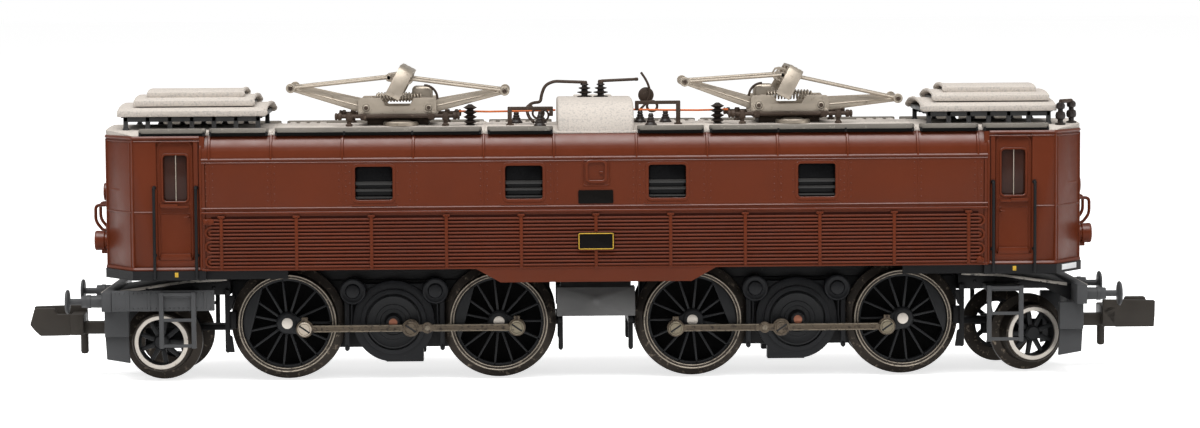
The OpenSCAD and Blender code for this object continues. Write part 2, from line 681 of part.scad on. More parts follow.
// ---- bogies, drawn with the pivot at X = 0 and the outer end at -X -----
module left() { translate([-bogie_x, 0, 0]) children(); }
module right() { translate([bogie_x, 0, 0]) rotate([0, 0, 180]) children(); }
axle_z = flange_r;
frame_y = 3.3;
frame_out = 15.9;
frame_in = 15.3;
frame_top = 9.6;
beam_in = 27.0;                   // inner face of the buffer beam
hanger_y = 4.85;
truck_z = 4.45;                   // underside of the carrying truck's arm
truck_t = 0.55;
module bogie_frame() {
    color(black) difference() {
        union() {
            block([-frame_out + 4.3, -frame_y, 2.9], [frame_in, frame_y, frame_top]);
            block([-frame_out, -frame_y, truck_z + truck_t + 0.2],
                  [-frame_out + 4.3, frame_y, frame_top]);
            // top plate, sloping down to the buffer beam
            plate_y(-4.6, 4.6) polygon([
                [-frame_out, 8.3], [-frame_out, frame_top + 0.2], [-19.5, frame_top + 0.2],
                [-beam_in, 8.75], [-beam_in, 7.05], [-24.5, 8.3]
            ]);
            translate([0, 0, frame_top - 0.1])
                cylinder(h = floor_z + floor_t + pivot_top - frame_top + 0.1, r = pivot_r);
            // bearing ring under the body's floor
            translate([0, 0, frame_top - 0.1]) cylinder(h = floor_z - frame_top + 0.05, r = 2.8);
            // carrying truck's pivot pin
            translate([-truck_pivot_x, 0, truck_z - 0.4]) {
                cylinder(h = 3, r = 0.8);
                cylinder(h = 0.3, r = 1.1);
            }
            // brake hangers at both ends
            both_sides() {
                block([-frame_out - 0.5, 4.5, 8.3], [-frame_out, hanger_y + 0.5, 8.9]);
                block([-frame_out - 0.5, hanger_y, 2.7], [-frame_out, hanger_y + 0.5, 8.4]);
                block([16.05, 3.2, 5.3], [16.55, hanger_y + 0.5, 5.9]);
                block([16.05, hanger_y, 2.7], [16.55, hanger_y + 0.5, 5.4]);
            }
            block([frame_in - 0.1, -frame_y, 5.0], [16.55, frame_y, 5.9]);
        }
        for (x = [-axle_x, axle_x])
            disc_y(x, axle_z, axle_r + run, -frame_y - over, frame_y + over);
        disc_y(0, axle_z, axle_r + run, -frame_y - over, frame_y + over);
    }
}
cover_r = 4.0;
cover_y = 4.7;
ring_y = 5.2;
sand_x = 4.0;
sand_z = 8.6;
sand_r = 1.32;
module gear_cover() {
    color(grey) both_sides() difference() {
        union() {
            disc_y(0, axle_z, cover_r, frame_y, cover_y);
            block([-0.8, frame_y, axle_z - cover_r], [2.9, cover_y, axle_z]);
            disc_y(0, axle_z, disc_r + 0.6, cover_y, ring_y);
            block([-4.6, frame_y, 7.5], [4.8, 4.4, 9.3]);
            for (x = [-sand_x + 0.05, sand_x + 0.1]) {
                disc_y(x, sand_z, sand_r, 4.3, 5.5);
            }
            for (x = [-4.55, 4.75])
                block([x - 0.25, 4.35, 2.7], [x + 0.25, 4.9, 8.0]);
        }
        disc_y(0, axle_z, axle_r + run, 0, cover_y + over);
        disc_y(0, axle_z, disc_r + 0.15, cover_y, ring_y + over);
    }
}
ladder_y = 8.15;
ladder_x = [-22.4, -18.9];
module ladder(y0) {
    for (x = [ladder_x[0], ladder_x[1] - 0.4])
        block([x, y0, 3.5], [x + 0.4, y0 + 0.35, 9.0]);
    for (z = [3.6, 6.1, 8.6])
        block([ladder_x[0], y0, z], [ladder_x[1], y0 + 0.35, z + 0.3]);
}
guard = [[-28.0, 4.4], [-25.7, 4.4], [-25.6, 1.8], [-27.9, 2.2]];
module end_frame() {
    color(grey) {
        difference() {
            union() {
                block([-beam_in - 1.03, -8.0, 7.05], [-beam_in, 8.0, 9.0]);
                block([-beam_in - 1.03, -2.0, 3.7], [-beam_in, 2.0, 7.1]);
            }
            block([-beam_in - 2, -0.85, coupler_z - 0.6], [-beam_in + 1, 0.85, coupler_z + 0.6]);
        }
        both_sides() {
            block([-28.0, 5.2, 4.4], [-25.6, 6.2, 7.1]);
            plate_y(5.3, 5.8) polygon(guard);
            ladder(ladder_y);
        }
        // side plate on one side only, brackets for the ladders on both
        block([-beam_in, -8.2, 7.1], [-17.1, -7.7, 9.15]);
        both_sides() block([ladder_x[0], 4.6, 8.4], [ladder_x[1], ladder_y + 0.1, 8.95]);
    }
}
buffer_in = bogie_x + beam_in + 1.03;
module buffers() {
    color(grey) both_sides() translate([0, buffer_y, buffer_z]) {
        x0 = buffer_in - bogie_x;
        x1 = buffer_x - bogie_x;
        rod([-x0, 0, 0], [-x0 - 2.2, 0, 0], 0.6);
        rod([-x0 - 2.1, 0, 0], [-x1 + 0.2, 0, 0], 0.31);
        rod([-x1 + 0.35, 0, 0], [-x1, 0, 0], buffer_r);
    }
}
module coupler() {
    nose = coupler_x - bogie_x;
    color(black) {
        block([-nose + 4.0, -0.85, coupler_z - 0.6], [-beam_in + 0.3, 0.85, coupler_z + 0.6]);
        block([-nose + 3.9, -1.9, coupler_z - 0.6], [-nose + 5.3, 1.9, coupler_z + 1.5]);
        plate_y(-1.9, -0.9) polygon([
            [-nose + 4.0, coupler_z - 0.6], [-nose + 2.2, coupler_z - 0.65],
            [-nose + 1.0, coupler_z - 0.65], [-nose, coupler_z + 0.5],
            [-nose + 0.5, coupler_z + 2.1], [-nose + 2.4, coupler_z + 2.1],
            [-nose + 2.6, coupler_z + 1.5], [-nose + 4.0, coupler_z + 1.5]
        ]);
        plate_y(1.1, 1.9) polygon([
            [-nose + 4.0, coupler_z - 0.65], [-nose + 0.1, coupler_z - 0.65],
            [-nose, coupler_z + 2.0], [-nose + 5.2, coupler_z + 2.1], [-nose + 5.3, coupler_z + 1.0]
        ]);
        translate([-nose + 5.1, 0, 2.15]) cylinder(h = coupler_z - 2.15, r = 0.4);
    }
}

// ---- wheels and rods ---------------------------------------------------
// a spoked wheel pair on an axle along Y through x, z
module wheel_pair(x, z, ax_r, tread, flange, count, rim, hub) {
    disc_y(x, z, ax_r, -wheel_back - 0.1, wheel_back + 0.1);
    both_sides() {
        difference() {
            union() {
                disc_y(x, z, tread, wheel_back, wheel_back + wheel_w);
                disc_y(x, z, flange, wheel_back, wheel_back + flange_w);
            }
            disc_y(x, z, tread - rim, wheel_back - over, wheel_back + wheel_w + over);
        }
        disc_y(x, z, hub, wheel_back, wheel_back + wheel_w + 0.1);
        for (i = [0 : count - 1])
            translate([x, 0, z]) rotate([0, i * 360 / count, 0])
                block([hub * 0.8, wheel_back + 1.2, -0.14],
                      [tread - rim * 0.6, wheel_back + 1.75, 0.14]);
    }
}
function pin_at(x, z, a) = [x + crank * cos(a), z + crank * sin(a)];
rod_y = wheel_back + wheel_w + 0.45;
rod_t = 0.5;
// boss, pin and washer of a crank on the +Y side
module crank_pin(x, z, a, y0) {
    p = pin_at(x, z, a);
    disc_y(p[0], p[1], 0.75, y0, rod_y - 0.1);
    disc_y(p[0], p[1], pin_r, rod_y - 0.2, rod_y + rod_t + 0.2);
    disc_y(p[0], p[1], 0.7, rod_y + rod_t + 0.1, rod_y + rod_t + 0.4);
}
// near and far crank angles in a bogie's own frame
function cranks(side) = side < 0 ? [left_crank_a, left_crank_a + 90]
                                 : [right_crank_a + 90, right_crank_a];
module drive_axle(x, side) {
    color(steel) {
        wheel_pair(x, axle_z, axle_r, tread_r, flange_r, spokes, 0.65, 1.1);
        mirror([0, 1, 0]) crank_pin(x, axle_z, cranks(side)[0], wheel_back + 1.3);
        crank_pin(x, axle_z, cranks(side)[1], wheel_back + 1.3);
    }
}
module jackshaft(side) {
    color(steel) {
        disc_y(0, axle_z, axle_r, -cover_y - 0.3, cover_y + 0.3);
        both_sides() {
            disc_y(0, axle_z, disc_r, cover_y + 0.2, cover_y + 0.65);
            disc_y(0, axle_z, 0.65, cover_y + 0.6, wheel_back + wheel_w + 0.1);
        }
        mirror([0, 1, 0]) crank_pin(0, axle_z, cranks(side)[0], cover_y + 0.6);
        crank_pin(0, axle_z, cranks(side)[1], cover_y + 0.6);
    }
}
rod_h = 0.34;
// a coupling rod on the +Y side over all three pins
module side_rod(a) {
    dx = crank * cos(a);
    z = axle_z + crank * sin(a);
    color(steel) difference() {
        union() {
            block([-axle_x + dx, rod_y, z - rod_h], [axle_x + dx, rod_y + rod_t, z + rod_h]);
            for (x = [-axle_x, 0, axle_x]) disc_y(x + dx, z, 0.85, rod_y, rod_y + rod_t);
            disc_y(1.6 + dx, z, 0.55, rod_y, rod_y + rod_t);
        }
        for (x = [-axle_x, 0, axle_x])
            disc_y(x + dx, z, pin_r + run, rod_y - over, rod_y + rod_t + over);
    }
}
truck_axle_z = small_flange_r;
truck_axle_r = 0.6;
// the carrying truck, swung by a about its pivot
module swung(a) { translate([-truck_pivot_x, 0, 0]) rotate([0, 0, a]) children(); }
module truck(a) {
    color(black) swung(a) difference() {
        union() {
            translate([0, 0, truck_z]) cylinder(h = truck_t, r = 1.4);
            block([-truck_arm - 1.0, -1.1, truck_z], [0, 1.1, truck_z + truck_t]);
            block([-truck_arm - 1.0, -3.4, truck_z], [-truck_arm + 1.0, 3.4, truck_z + truck_t]);
            both_sides() block([-truck_arm - 1.0, 2.5, truck_axle_z - 0.9],
                               [-truck_arm + 1.0, 3.4, truck_z + 0.1]);
        }
        translate([0, 0, truck_z - over]) cylinder(h = truck_t + 2 * over, r = 0.8 + run);
        disc_y(-truck_arm, truck_axle_z, truck_axle_r + run, -4, 4);
    }
}
module truck_wheels(a) {
    color("#b9b2a4") swung(a)
        wheel_pair(-truck_arm, truck_axle_z, truck_axle_r, small_tread_r, small_flange_r,
                   9, 0.5, 0.75);
}

// ---- nodes -------------------------------------------------------------
lk = [knuckle(-panto_x, -1, left_arm_a[0]), knuckle(-panto_x, 1, left_arm_a[1])];
rk = [knuckle(panto_x, 1, right_arm_a[0]), knuckle(panto_x, -1, right_arm_a[1])];
lh = [head_point(-panto_x, left_head[0]), head_point(-panto_x, left_head[1])];
rh = [head_point(panto_x, right_head[0]), head_point(panto_x, right_head[1])];
body_shell();
roof();
roof_edge_strips();
roof_box();
glazing();
cooling_pipes();
cab_handrails();
front_handrails();
headlamps();
blank_plates();
underframe();
centre_box();
chassis_block();
resistor_covers();
resistor_grids();
roof_insulators();
roof_conductors();
red_conductor();
roof_brackets();
pantograph_beams();
pantograph_base(-panto_x);  // left_pantograph_base
lower_arm_piece(-panto_x, -1, left_arm_a[0]);  // left_lower_arm_outer
lower_arm_piece(-panto_x, 1, left_arm_a[1]);  // left_lower_arm_inner
upper_arm_piece(lk[0], lh[0]);  // left_upper_arm_outer
upper_arm_piece(lk[1], lh[1]);  // left_upper_arm_inner
collector(lh[0], lh[1], left_lean);  // left_collector
pantograph_base(panto_x);  // right_pantograph_base
lower_arm_piece(panto_x, 1, right_arm_a[0]);  // right_lower_arm_outer
lower_arm_piece(panto_x, -1, right_arm_a[1]);  // right_lower_arm_inner
upper_arm_piece(rk[0], rh[0]);  // right_upper_arm_outer
upper_arm_piece(rk[1], rh[1]);  // right_upper_arm_inner
collector(rh[0], rh[1], right_lean);  // right_collector
left() bogie_frame();  // left_bogie_frame
left() gear_cover();  // left_gear_cover
left() end_frame();  // left_end_frame
left() buffers();  // left_buffers
left() coupler();  // left_coupler
left() drive_axle(-axle_x, -1);  // left_outer_axle
left() drive_axle(axle_x, -1);  // left_inner_axle
left() jackshaft(-1);  // left_jackshaft
left() mirror([0, 1, 0]) side_rod(cranks(-1)[0]);  // left_near_rod
left() side_rod(cranks(-1)[1]);  // left_far_rod
left() truck(left_truck_a);  // left_truck
left() truck_wheels(left_truck_a);  // left_truck_wheels
right() bogie_frame();  // right_bogie_frame
right() gear_cover();  // right_gear_cover
right() end_frame();  // right_end_frame
right() buffers();  // right_buffers
right() coupler();  // right_coupler
right() drive_axle(-axle_x, 1);  // right_outer_axle
right() drive_axle(axle_x, 1);  // right_inner_axle
right() jackshaft(1);  // right_jackshaft
right() side_rod(cranks(1)[1]);  // right_near_rod
right() mirror([0, 1, 0]) side_rod(cranks(1)[0]);  // right_far_rod
right() truck(right_truck_a);  // right_truck
right() truck_wheels(right_truck_a);  // right_truck_wheels
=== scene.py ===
"""Finish and fine detail for a 1:160 model electric locomotive.

X runs along the locomotive, -Y is its near side and Z = 0 lies under the wheel
flanges.  The helpers take millimetres; Blender's own units stay metres.
"""

import math

import bpy
from mathutils import Matrix, Vector


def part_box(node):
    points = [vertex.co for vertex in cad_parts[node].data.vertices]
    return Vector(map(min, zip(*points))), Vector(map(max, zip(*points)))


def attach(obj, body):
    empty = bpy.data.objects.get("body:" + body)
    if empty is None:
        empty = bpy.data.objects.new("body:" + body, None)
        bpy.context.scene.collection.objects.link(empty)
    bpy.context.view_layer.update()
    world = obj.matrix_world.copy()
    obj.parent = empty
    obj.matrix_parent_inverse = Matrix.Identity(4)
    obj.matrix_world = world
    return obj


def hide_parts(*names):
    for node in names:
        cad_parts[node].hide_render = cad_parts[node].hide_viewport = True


bl_info = {
    "name": "Model electric locomotive",
    "version": (1, 0, 0),
    "blender": (4, 5, 0),
    "location": "3D View > Sidebar > Locomotive",
    "description": "Details and finishes of a 1:160 rod-driven electric locomotive",
    "category": "Object",
}

MM = 0.001
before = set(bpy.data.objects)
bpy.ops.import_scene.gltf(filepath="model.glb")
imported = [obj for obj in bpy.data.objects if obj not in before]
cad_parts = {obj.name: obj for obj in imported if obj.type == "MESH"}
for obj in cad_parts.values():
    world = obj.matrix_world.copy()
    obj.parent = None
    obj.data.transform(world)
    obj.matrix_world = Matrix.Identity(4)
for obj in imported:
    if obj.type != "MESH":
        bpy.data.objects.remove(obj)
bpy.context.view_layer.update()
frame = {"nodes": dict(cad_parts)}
NODES = frame["nodes"]


def corner(node, side):
    """A CAD node's lowest (side 0) or highest (side 1) corner, in millimetres."""
    return [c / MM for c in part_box(node)[side]]


# Sizes shared by several pieces, in millimetres.
FRONT_X = corner("body_shell", 1)[0]    # cab front
SIDE_Y = corner("body_shell", 1)[1]     # machine room side
EAVE_Z = corner("body_shell", 1)[2]     # roof edge
SILL_Z = 11.1                           # lower edge of the side walls
CAB_Y = 9.0                             # cab side
CORNER_X = 44.4                         # where the slanted cab corner begins
FRONT_Y = 5.0                           # half width of the cab front
ROOM_X = 37.9                           # where the machine room's sides end
BEAD_Z = 21.75                          # bead under the rounded shoulder
BELT_Z = 16.75                          # belt line
SHOULDER_R = 3.0
ROOF_R = 67.0                           # roof crown's radius
ROOF_TOP = EAVE_Z + 0.75
BOGIE_X = 19.72                         # bogie pivots
AXLE_X = 10.29                          # axles, from the bogie's pivot
AXLE_Z = 5.6
CRANK = 1.8
WHEEL_BACK = 3.7
ROD_Y = 6.35
PANTO_X = 19.2
PIVOT_Z = EAVE_Z + 2.4                  # lower arms' pivots
BASE_PIVOT_X = 3.05
LOWER_ARM = 7.6
ARM_Y = 3.1
SIDES = (-1, 1)
LEFT, RIGHT = (-1, 0, 0), (1, 0, 0)
NEAR, FAR = (0, -1, 0), (0, 1, 0)
DOWN, UP = (0, 0, -1), (0, 0, 1)


def roof_z(y):
    """Height of the roof's crown at a distance y from the middle."""
    return ROOF_TOP - ROOF_R + math.sqrt(ROOF_R * ROOF_R - y * y)


# ---- modelling helpers -------------------------------------------------------
def deselect():
    """Leaves edit mode and selects nothing."""
    if bpy.context.object and bpy.context.object.mode != "OBJECT":
        bpy.ops.object.mode_set(mode="OBJECT")
    bpy.ops.object.select_all(action="DESELECT")


def pick(obj):
    """Makes obj the only selected object."""
    deselect()
    obj.select_set(True)
    bpy.context.view_layer.objects.active = obj
    return obj


def apply_place():
    """Moves the active object's place into its mesh."""
    bpy.ops.object.transform_apply(location=True, rotation=True, scale=True)


def edit_all():
    """Enters edit mode with everything selected."""
    bpy.ops.object.mode_set(mode="EDIT")
    bpy.ops.mesh.select_all(action="SELECT")


def outwards():
    """Points all faces outwards and leaves edit mode."""
    bpy.ops.mesh.select_all(action="SELECT")
    bpy.ops.mesh.normals_make_consistent(inside=False)
    bpy.ops.object.mode_set(mode="OBJECT")


def modify(obj, kind, **settings):
    """Adds a modifier with these settings and applies it."""
    pick(obj)
    bpy.ops.object.modifier_add(type=kind)
    modifier = obj.modifiers[-1]
    for name, value in settings.items():
        setattr(modifier, name, value)
    bpy.ops.object.modifier_apply(modifier=modifier.name)
    return obj


def rounded(obj, radius, steps=2):
    """Rounds an object's sharp edges."""
    if radius:
        modify(obj, "BEVEL", width=radius * MM, segments=steps,
               limit_method="ANGLE", angle_limit=math.radians(40))
    return obj


def bar(low, high, edge=0.04, steps=2):
    """A box between two corners with rounded edges."""
    deselect()
    middle = [(a + b) / 2 * MM for a, b in zip(low, high)]
    bpy.ops.mesh.primitive_cube_add(size=1, location=middle)
    obj = bpy.context.object
    obj.scale = [abs(b - a) * MM for a, b in zip(low, high)]
    apply_place()
    return rounded(obj, edge, steps)


def slab(x, half, across, heights, edge=0.04, steps=2):
    """A bar centred on x: its half length, its two places across and its two heights."""
    return bar((x - half, across[0], heights[0]), (x + half, across[1], heights[1]), edge, steps)


def extrude(vector):
    """Extrudes the selected faces along a vector, in millimetres."""
    bpy.ops.mesh.extrude_region_move(TRANSFORM_OT_translate={"value": [v * MM for v in vector]})


def turned(base, axis, profile, sides=24):
    """A closed turned part: (distance along the axis, radius) from end to end."""
    deselect()
    first = profile[0]
    bpy.ops.mesh.primitive_circle_add(vertices=sides, radius=first[1] * MM, fill_type="NGON",
                                      location=(0, 0, first[0] * MM))
    obj = bpy.context.object
    apply_place()
    edit_all()
    for (h0, r0), (h1, r1) in zip(profile, profile[1:]):
        extrude((0, 0, h1 - h0))
        if abs(r1 - r0) > 1e-6:
            bpy.ops.transform.resize(value=[r1 / r0] * 3, center_override=(0, 0, h1 * MM))
    outwards()
    return placed(obj, base, axis)


def placed(obj, base, axis):
    """Turns an object's Z onto axis and moves its origin to base."""
    turn = Vector(axis).to_track_quat("Z", "Y").to_matrix().to_4x4()
    obj.matrix_world = Matrix.Translation([b * MM for b in base]) @ turn
    pick(obj)
    apply_place()
    return obj


def flat(outline, depth, across):
    """A face with this outline, all in edit mode: in X and Z across Y, or the like."""
    deselect()
    bpy.ops.mesh.primitive_circle_add(vertices=len(outline), radius=1, fill_type="NGON")
    obj = bpy.context.object
    for vertex, point in zip(obj.data.vertices, outline):
        place = list(point)
        place.insert("XYZ".index(across), depth)
        vertex.co = Vector(place) * MM
    edit_all()
    return obj


def prism(outline, low, high, across="Y", edge=0.03):
    """A plate with this outline in X and Z (across Y), in Y and Z (across X) or in X and Y."""
    obj = flat(outline, low, across)
    extrude([w * (high - low) for w in {"X": RIGHT, "Y": FAR, "Z": UP}[across]])
    outwards()
    return rounded(obj, edge)


def wire(points, radius, sides=8, closed=False):
    """A round wire through these points."""
    deselect()
    bpy.ops.curve.primitive_nurbs_path_add()
    obj = bpy.context.object
    curve = obj.data
    curve.splines.clear()
    spline = curve.splines.new("POLY")
    spline.points.add(len(points) - 1)
    for point, place in zip(spline.points, points):
        point.co = (*(p * MM for p in place), 1)
    spline.use_cyclic_u = closed
    curve.dimensions = "3D"
    curve.bevel_depth = radius * MM
    curve.bevel_resolution = max(0, sides // 4 - 1)
    curve.use_fill_caps = not closed
    pick(obj)
    bpy.ops.object.convert(target="MESH")
    obj = bpy.context.object
    edit_all()
    bpy.ops.mesh.remove_doubles(threshold=radius * MM * 0.01)
    outwards()
    return obj


def hoop(x, y, z, wide, high, thick, half_steps, sides=12):
    """A closed wire ring in the XZ plane; wide and high are its two radii."""
    angles = [math.pi * i / half_steps for i in range(2 * half_steps)]
    return wire([(x + wide * math.cos(t), y, z + high * math.sin(t)) for t in angles],
                thick, sides, True)


def bent(points, radius, steps=5):
    """Rounds the corners of a path."""
    path = [Vector(points[0])]
    for before, here, after in zip(points, points[1:], points[2:]):
        here, before, after = Vector(here), Vector(before), Vector(after)
        back = min(radius, (before - here).length * 0.45, (after - here).length * 0.45)
        a = here + (before - here).normalized() * back
        b = here + (after - here).normalized() * back
        path += [a.lerp(here, t).lerp(here.lerp(b, t), t) for t in
                 [i / steps for i in range(steps + 1)]]
    return path + [Vector(points[-1])]


def coil(start, end, radius, turns, thick, sides=6):
    """A coil spring between two points, with straight hooks at its ends."""
    start, end = Vector(start), Vector(end)
    axis = (end - start).normalized()
    side = axis.cross(Vector(UP)) if abs(axis.z) < 0.9 else axis.cross(Vector(FAR))
    side.normalize()
    other = axis.cross(side)
    steps = int(turns * 12)
    points = [start]
    for i in range(steps + 1):
        angle = 2 * math.pi * turns * i / steps
        along = start.lerp(end, 0.08 + 0.84 * i / steps)
        points.append(along + radius * (math.cos(angle) * side + math.sin(angle) * other))
    points.append(end)
    return wire(points, thick, sides)


def moved(parts, matrix):
    """Moves finished parts by a matrix in millimetres."""
    place = matrix.copy()
    place.translation = place.translation * MM
    for part in parts:
        part.data.transform(place)
        if place.determinant() < 0:
            part.data.flip_normals()
    return parts


def twinned(part, matrix):
    """A copy of a part with its own mesh, placed by a matrix in millimetres."""
    twin = part.copy()
    twin.data = part.data.copy()
    bpy.context.collection.objects.link(twin)
    moved([twin], matrix)
    return twin


def copies(part, matrices):
    """Copies of a part in place of the part itself."""
    made = [twinned(part, matrix) for matrix in matrices]
    bpy.data.objects.remove(part)
    return made


def at(x, y, z):
    """A plain move, in millimetres."""
    return Matrix.Translation((x, y, z))


MIRROR_Y = Matrix.Diagonal((1, -1, 1, 1))
MIRROR_X = Matrix.Diagonal((-1, 1, 1, 1))


def twin_sides(parts):
    """The parts and their mirror images across the middle of the locomotive."""
    return parts + [twinned(part, MIRROR_Y) for part in parts]


def twin_ends(parts):
    """The parts and their mirror images at the other end."""
    return parts + [twinned(part, MIRROR_X) for part in parts]


def turn(axis, degrees, centre=(0, 0, 0)):
    """A turn about an axis through a centre, in millimetres."""
    c = Matrix.Translation(centre)
    return c @ Matrix.Rotation(math.radians(degrees), 4, axis) @ c.inverted()


def cut(obj, cutter):
    """Cuts one object out of another."""
    modify(obj, "BOOLEAN", operation="DIFFERENCE", solver="EXACT", object=cutter)
    bpy.data.objects.remove(cutter)
    return obj


def bored(obj, base, radius, depth, sides=24, axis=FAR):
    """Cuts a round bore into an object."""
    return cut(obj, turned(base, axis, [(0, radius), (depth, radius)], sides))


def joined(parts):
    """Joins parts into one object."""
    deselect()
    for part in parts:
        part.select_set(True)
    bpy.context.view_layer.objects.active = parts[0]
    if len(parts) > 1:
        bpy.ops.object.join()
    return bpy.context.object


def piece(name, parts, body, finish_name, slot, *replaces, angle=35):
    """Joins parts into a named piece that rides on a body and may replace CAD nodes."""
    obj = joined(parts)
    obj.name = obj.data.name = name
    obj.data.materials.clear()
    obj.data.materials.append(FINISHES[finish_name])
    bpy.ops.object.shade_smooth_by_angle(angle=math.radians(angle))
    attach(obj, body)
    if replaces:
        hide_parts(*replaces)
    return obj


def cad_copy(node):
    """A merged copy of a CAD node's mesh, to shape further."""
    source = NODES[node]
    obj = bpy.data.objects.new("copy", source.data.copy())
    bpy.context.collection.objects.link(obj)
    obj.matrix_world = source.matrix_world
    pick(obj)
    apply_place()
    edit_all()
    bpy.ops.mesh.remove_doubles(threshold=1e-7)
    bpy.ops.mesh.dissolve_limited(angle_limit=math.radians(0.3))
    bpy.ops.mesh.quads_convert_to_tris()
    bpy.ops.object.mode_set(mode="OBJECT")
    return obj


def rivet(radius, height, base, axis):
    """A small round rivet head."""
    return turned(base, axis, [(-height * 0.3, radius), (height * 0.35, radius * 0.92),
                               (height * 0.8, radius * 0.6), (height, radius * 0.2)], 8)


# ---- finishes ----------------------------------------------------------------
FINISHES = {}
ROUGH_RANGE = 0.07                      # how much the roughness varies to each side


def node(tree, kind, inputs=(), **settings):
    """Adds a shader node; an input is given a value, or the socket that feeds it."""
    made = tree.nodes.new("ShaderNode" + kind)
    for name, value in settings.items():
        setattr(made, name, value)
    return fed(tree, made, inputs)


def fed(tree, made, inputs):
    """Gives a shader node's inputs their values, or joins them to other nodes' sockets."""
    for name, value in dict(inputs).items():
        if isinstance(value, bpy.types.NodeSocket):
            tree.links.new(value, made.inputs[name])
        else:
            made.inputs[name].default_value = value
    return made


def spread(tree, source, low, high, start=0.3, end=0.7):
    """Turns a value between start and end into one between low and high."""
    return node(tree, "MapRange", {"Value": source, "From Min": start, "From Max": end,
                                   "To Min": low, "To Max": high}).outputs["Result"]


def seen_by(tree, ray):
    """1 for camera rays and for this other kind of ray, else 0."""
    path = node(tree, "LightPath").outputs
    return node(tree, "Math", {0: path["Is Camera Ray"], 1: path[ray]},
                operation="MAXIMUM").outputs[0]


def finish(name, colour, rough, metal=0.0, mottle=0.08, mottle_size=1.5, grain=0.02,
           grain_size=0.12, speck=None, gloss=0.5, coat=0.0, top_gloss=None):
    """A procedural finish: broad mottling, fine grain and specks (their colour, size and part)."""
    material = bpy.data.materials.new(name)
    material.use_nodes = True
    tree = material.node_tree
    coordinates = node(tree, "TexCoord").outputs

    def noise(size, detail=4.0):
        return node(tree, "TexNoise", {"Vector": coordinates["Object"], "Scale": 1 / (size * MM),
                                       "Detail": detail, "Roughness": 0.6}).outputs["Fac"]

    def ramp(source, low, high):
        made = node(tree, "ValToRGB", {"Fac": source})
        for stop, (position, value) in zip(made.color_ramp.elements, (low, high)):
            stop.position, stop.color = position, (*value, 1)
        return made.outputs["Color"]

    shade = ramp(noise(mottle_size * 4), (0.3, [c * (1 - mottle) for c in colour]),
                 (0.7, [min(1, c * (1 + mottle)) for c in colour]))
    if speck:
        spot_colour, size, part = speck
        spots = ramp(noise(size, 8.0), (part, (0, 0, 0)), (min(1, part + 0.12), (1, 1, 1)))
        shade = node(tree, "Mix", {"Factor": spots, "A": shade, "B": (*spot_colour, 1)},
                     data_type="RGBA").outputs["Result"]
    polish = spread(tree, noise(mottle_size), max(0.05, rough - ROUGH_RANGE),
                    min(1, rough + ROUGH_RANGE))
    bump = node(tree, "Bump", {"Distance": grain * MM, "Strength": 0.6,
                               "Height": noise(grain_size, 6.0)}).outputs["Normal"]
    if top_gloss:
        # faces that look up are polished
        facing = node(tree, "SeparateXYZ", {"Vector": coordinates["Normal"]}).outputs["Z"]
        gloss = spread(tree, facing, gloss, top_gloss, 0.25, 0.55)
    fed(tree, tree.nodes["Principled BSDF"], {
        "Base Color": shade, "Metallic": metal, "Roughness": polish, "Normal": bump,
        "Specular IOR Level": gloss, "Coat Weight": coat})
    FINISHES[name] = material


# ---- settings ----------------------------------------------------------------
def length(name, description, default, largest=5.0):
    """A length setting; its default is given in millimetres."""
    return bpy.props.FloatProperty(name=name, description=description, default=default * MM,
                                   min=0, max=largest * MM, precision=5,
                                   subtype="DISTANCE", unit="LENGTH")


def colour(name, description, default):
    """A colour setting."""
    return bpy.props.FloatVectorProperty(name=name, description=description, default=default,
                                         min=0, max=1, size=3, subtype="COLOR")


class LocoSizes(bpy.types.PropertyGroup):
    """Sizes of the fine detail."""
    rivet: length("Rivet radius", "Radius of the rivet heads on the body", 0.07)
    seam: length("Seam width", "Width of the beads over the body's seams", 0.2)
    frame: length("Window frame", "Width of the raised frame round a window", 0.3)
    pipe: length("Pipe radius", "Radius of a cooling pipe", 0.115)
    pipe_pitch: length("Pipe pitch", "Distance between neighbouring cooling pipes", 0.347)
    spring: length("Spring wire", "Radius of the pantograph springs' wire", 0.085)
    spokes: bpy.props.IntProperty(name="Spokes", description="Spokes in a driven wheel",
                                  default=15, min=8, max=20)
    sheds: bpy.props.IntProperty(name="Sheds", description="Sheds on a tall roof insulator",
                                 default=4, min=1, max=8)


class LocoColours(bpy.types.PropertyGroup):
    """Colours of the finishes, as linear values."""
    brown: colour("Body", "Reddish brown of the body", (0.106, 0.0213, 0.0073))
    roof: colour("Roof", "Pale grey of the roof and covers", (0.525, 0.475, 0.425))
    strip: colour("Roof strips", "Worn grey of the roof's edge strips", (0.165, 0.150, 0.130))
    black: colour("Underframe", "Black of the underframe", (0.010, 0.010, 0.0105))
    slate: colour("Bogies", "Dark grey of the bogies", (0.062, 0.063, 0.065))
    nickel: colour("Pantographs", "Warm nickel of the pantographs", (0.40, 0.345, 0.28))
    rod: colour("Rods", "Dark bronze of the rods", (0.10, 0.078, 0.055))
    red: colour("Roof wire", "Red of the roof wire", (0.66, 0.17, 0.05))


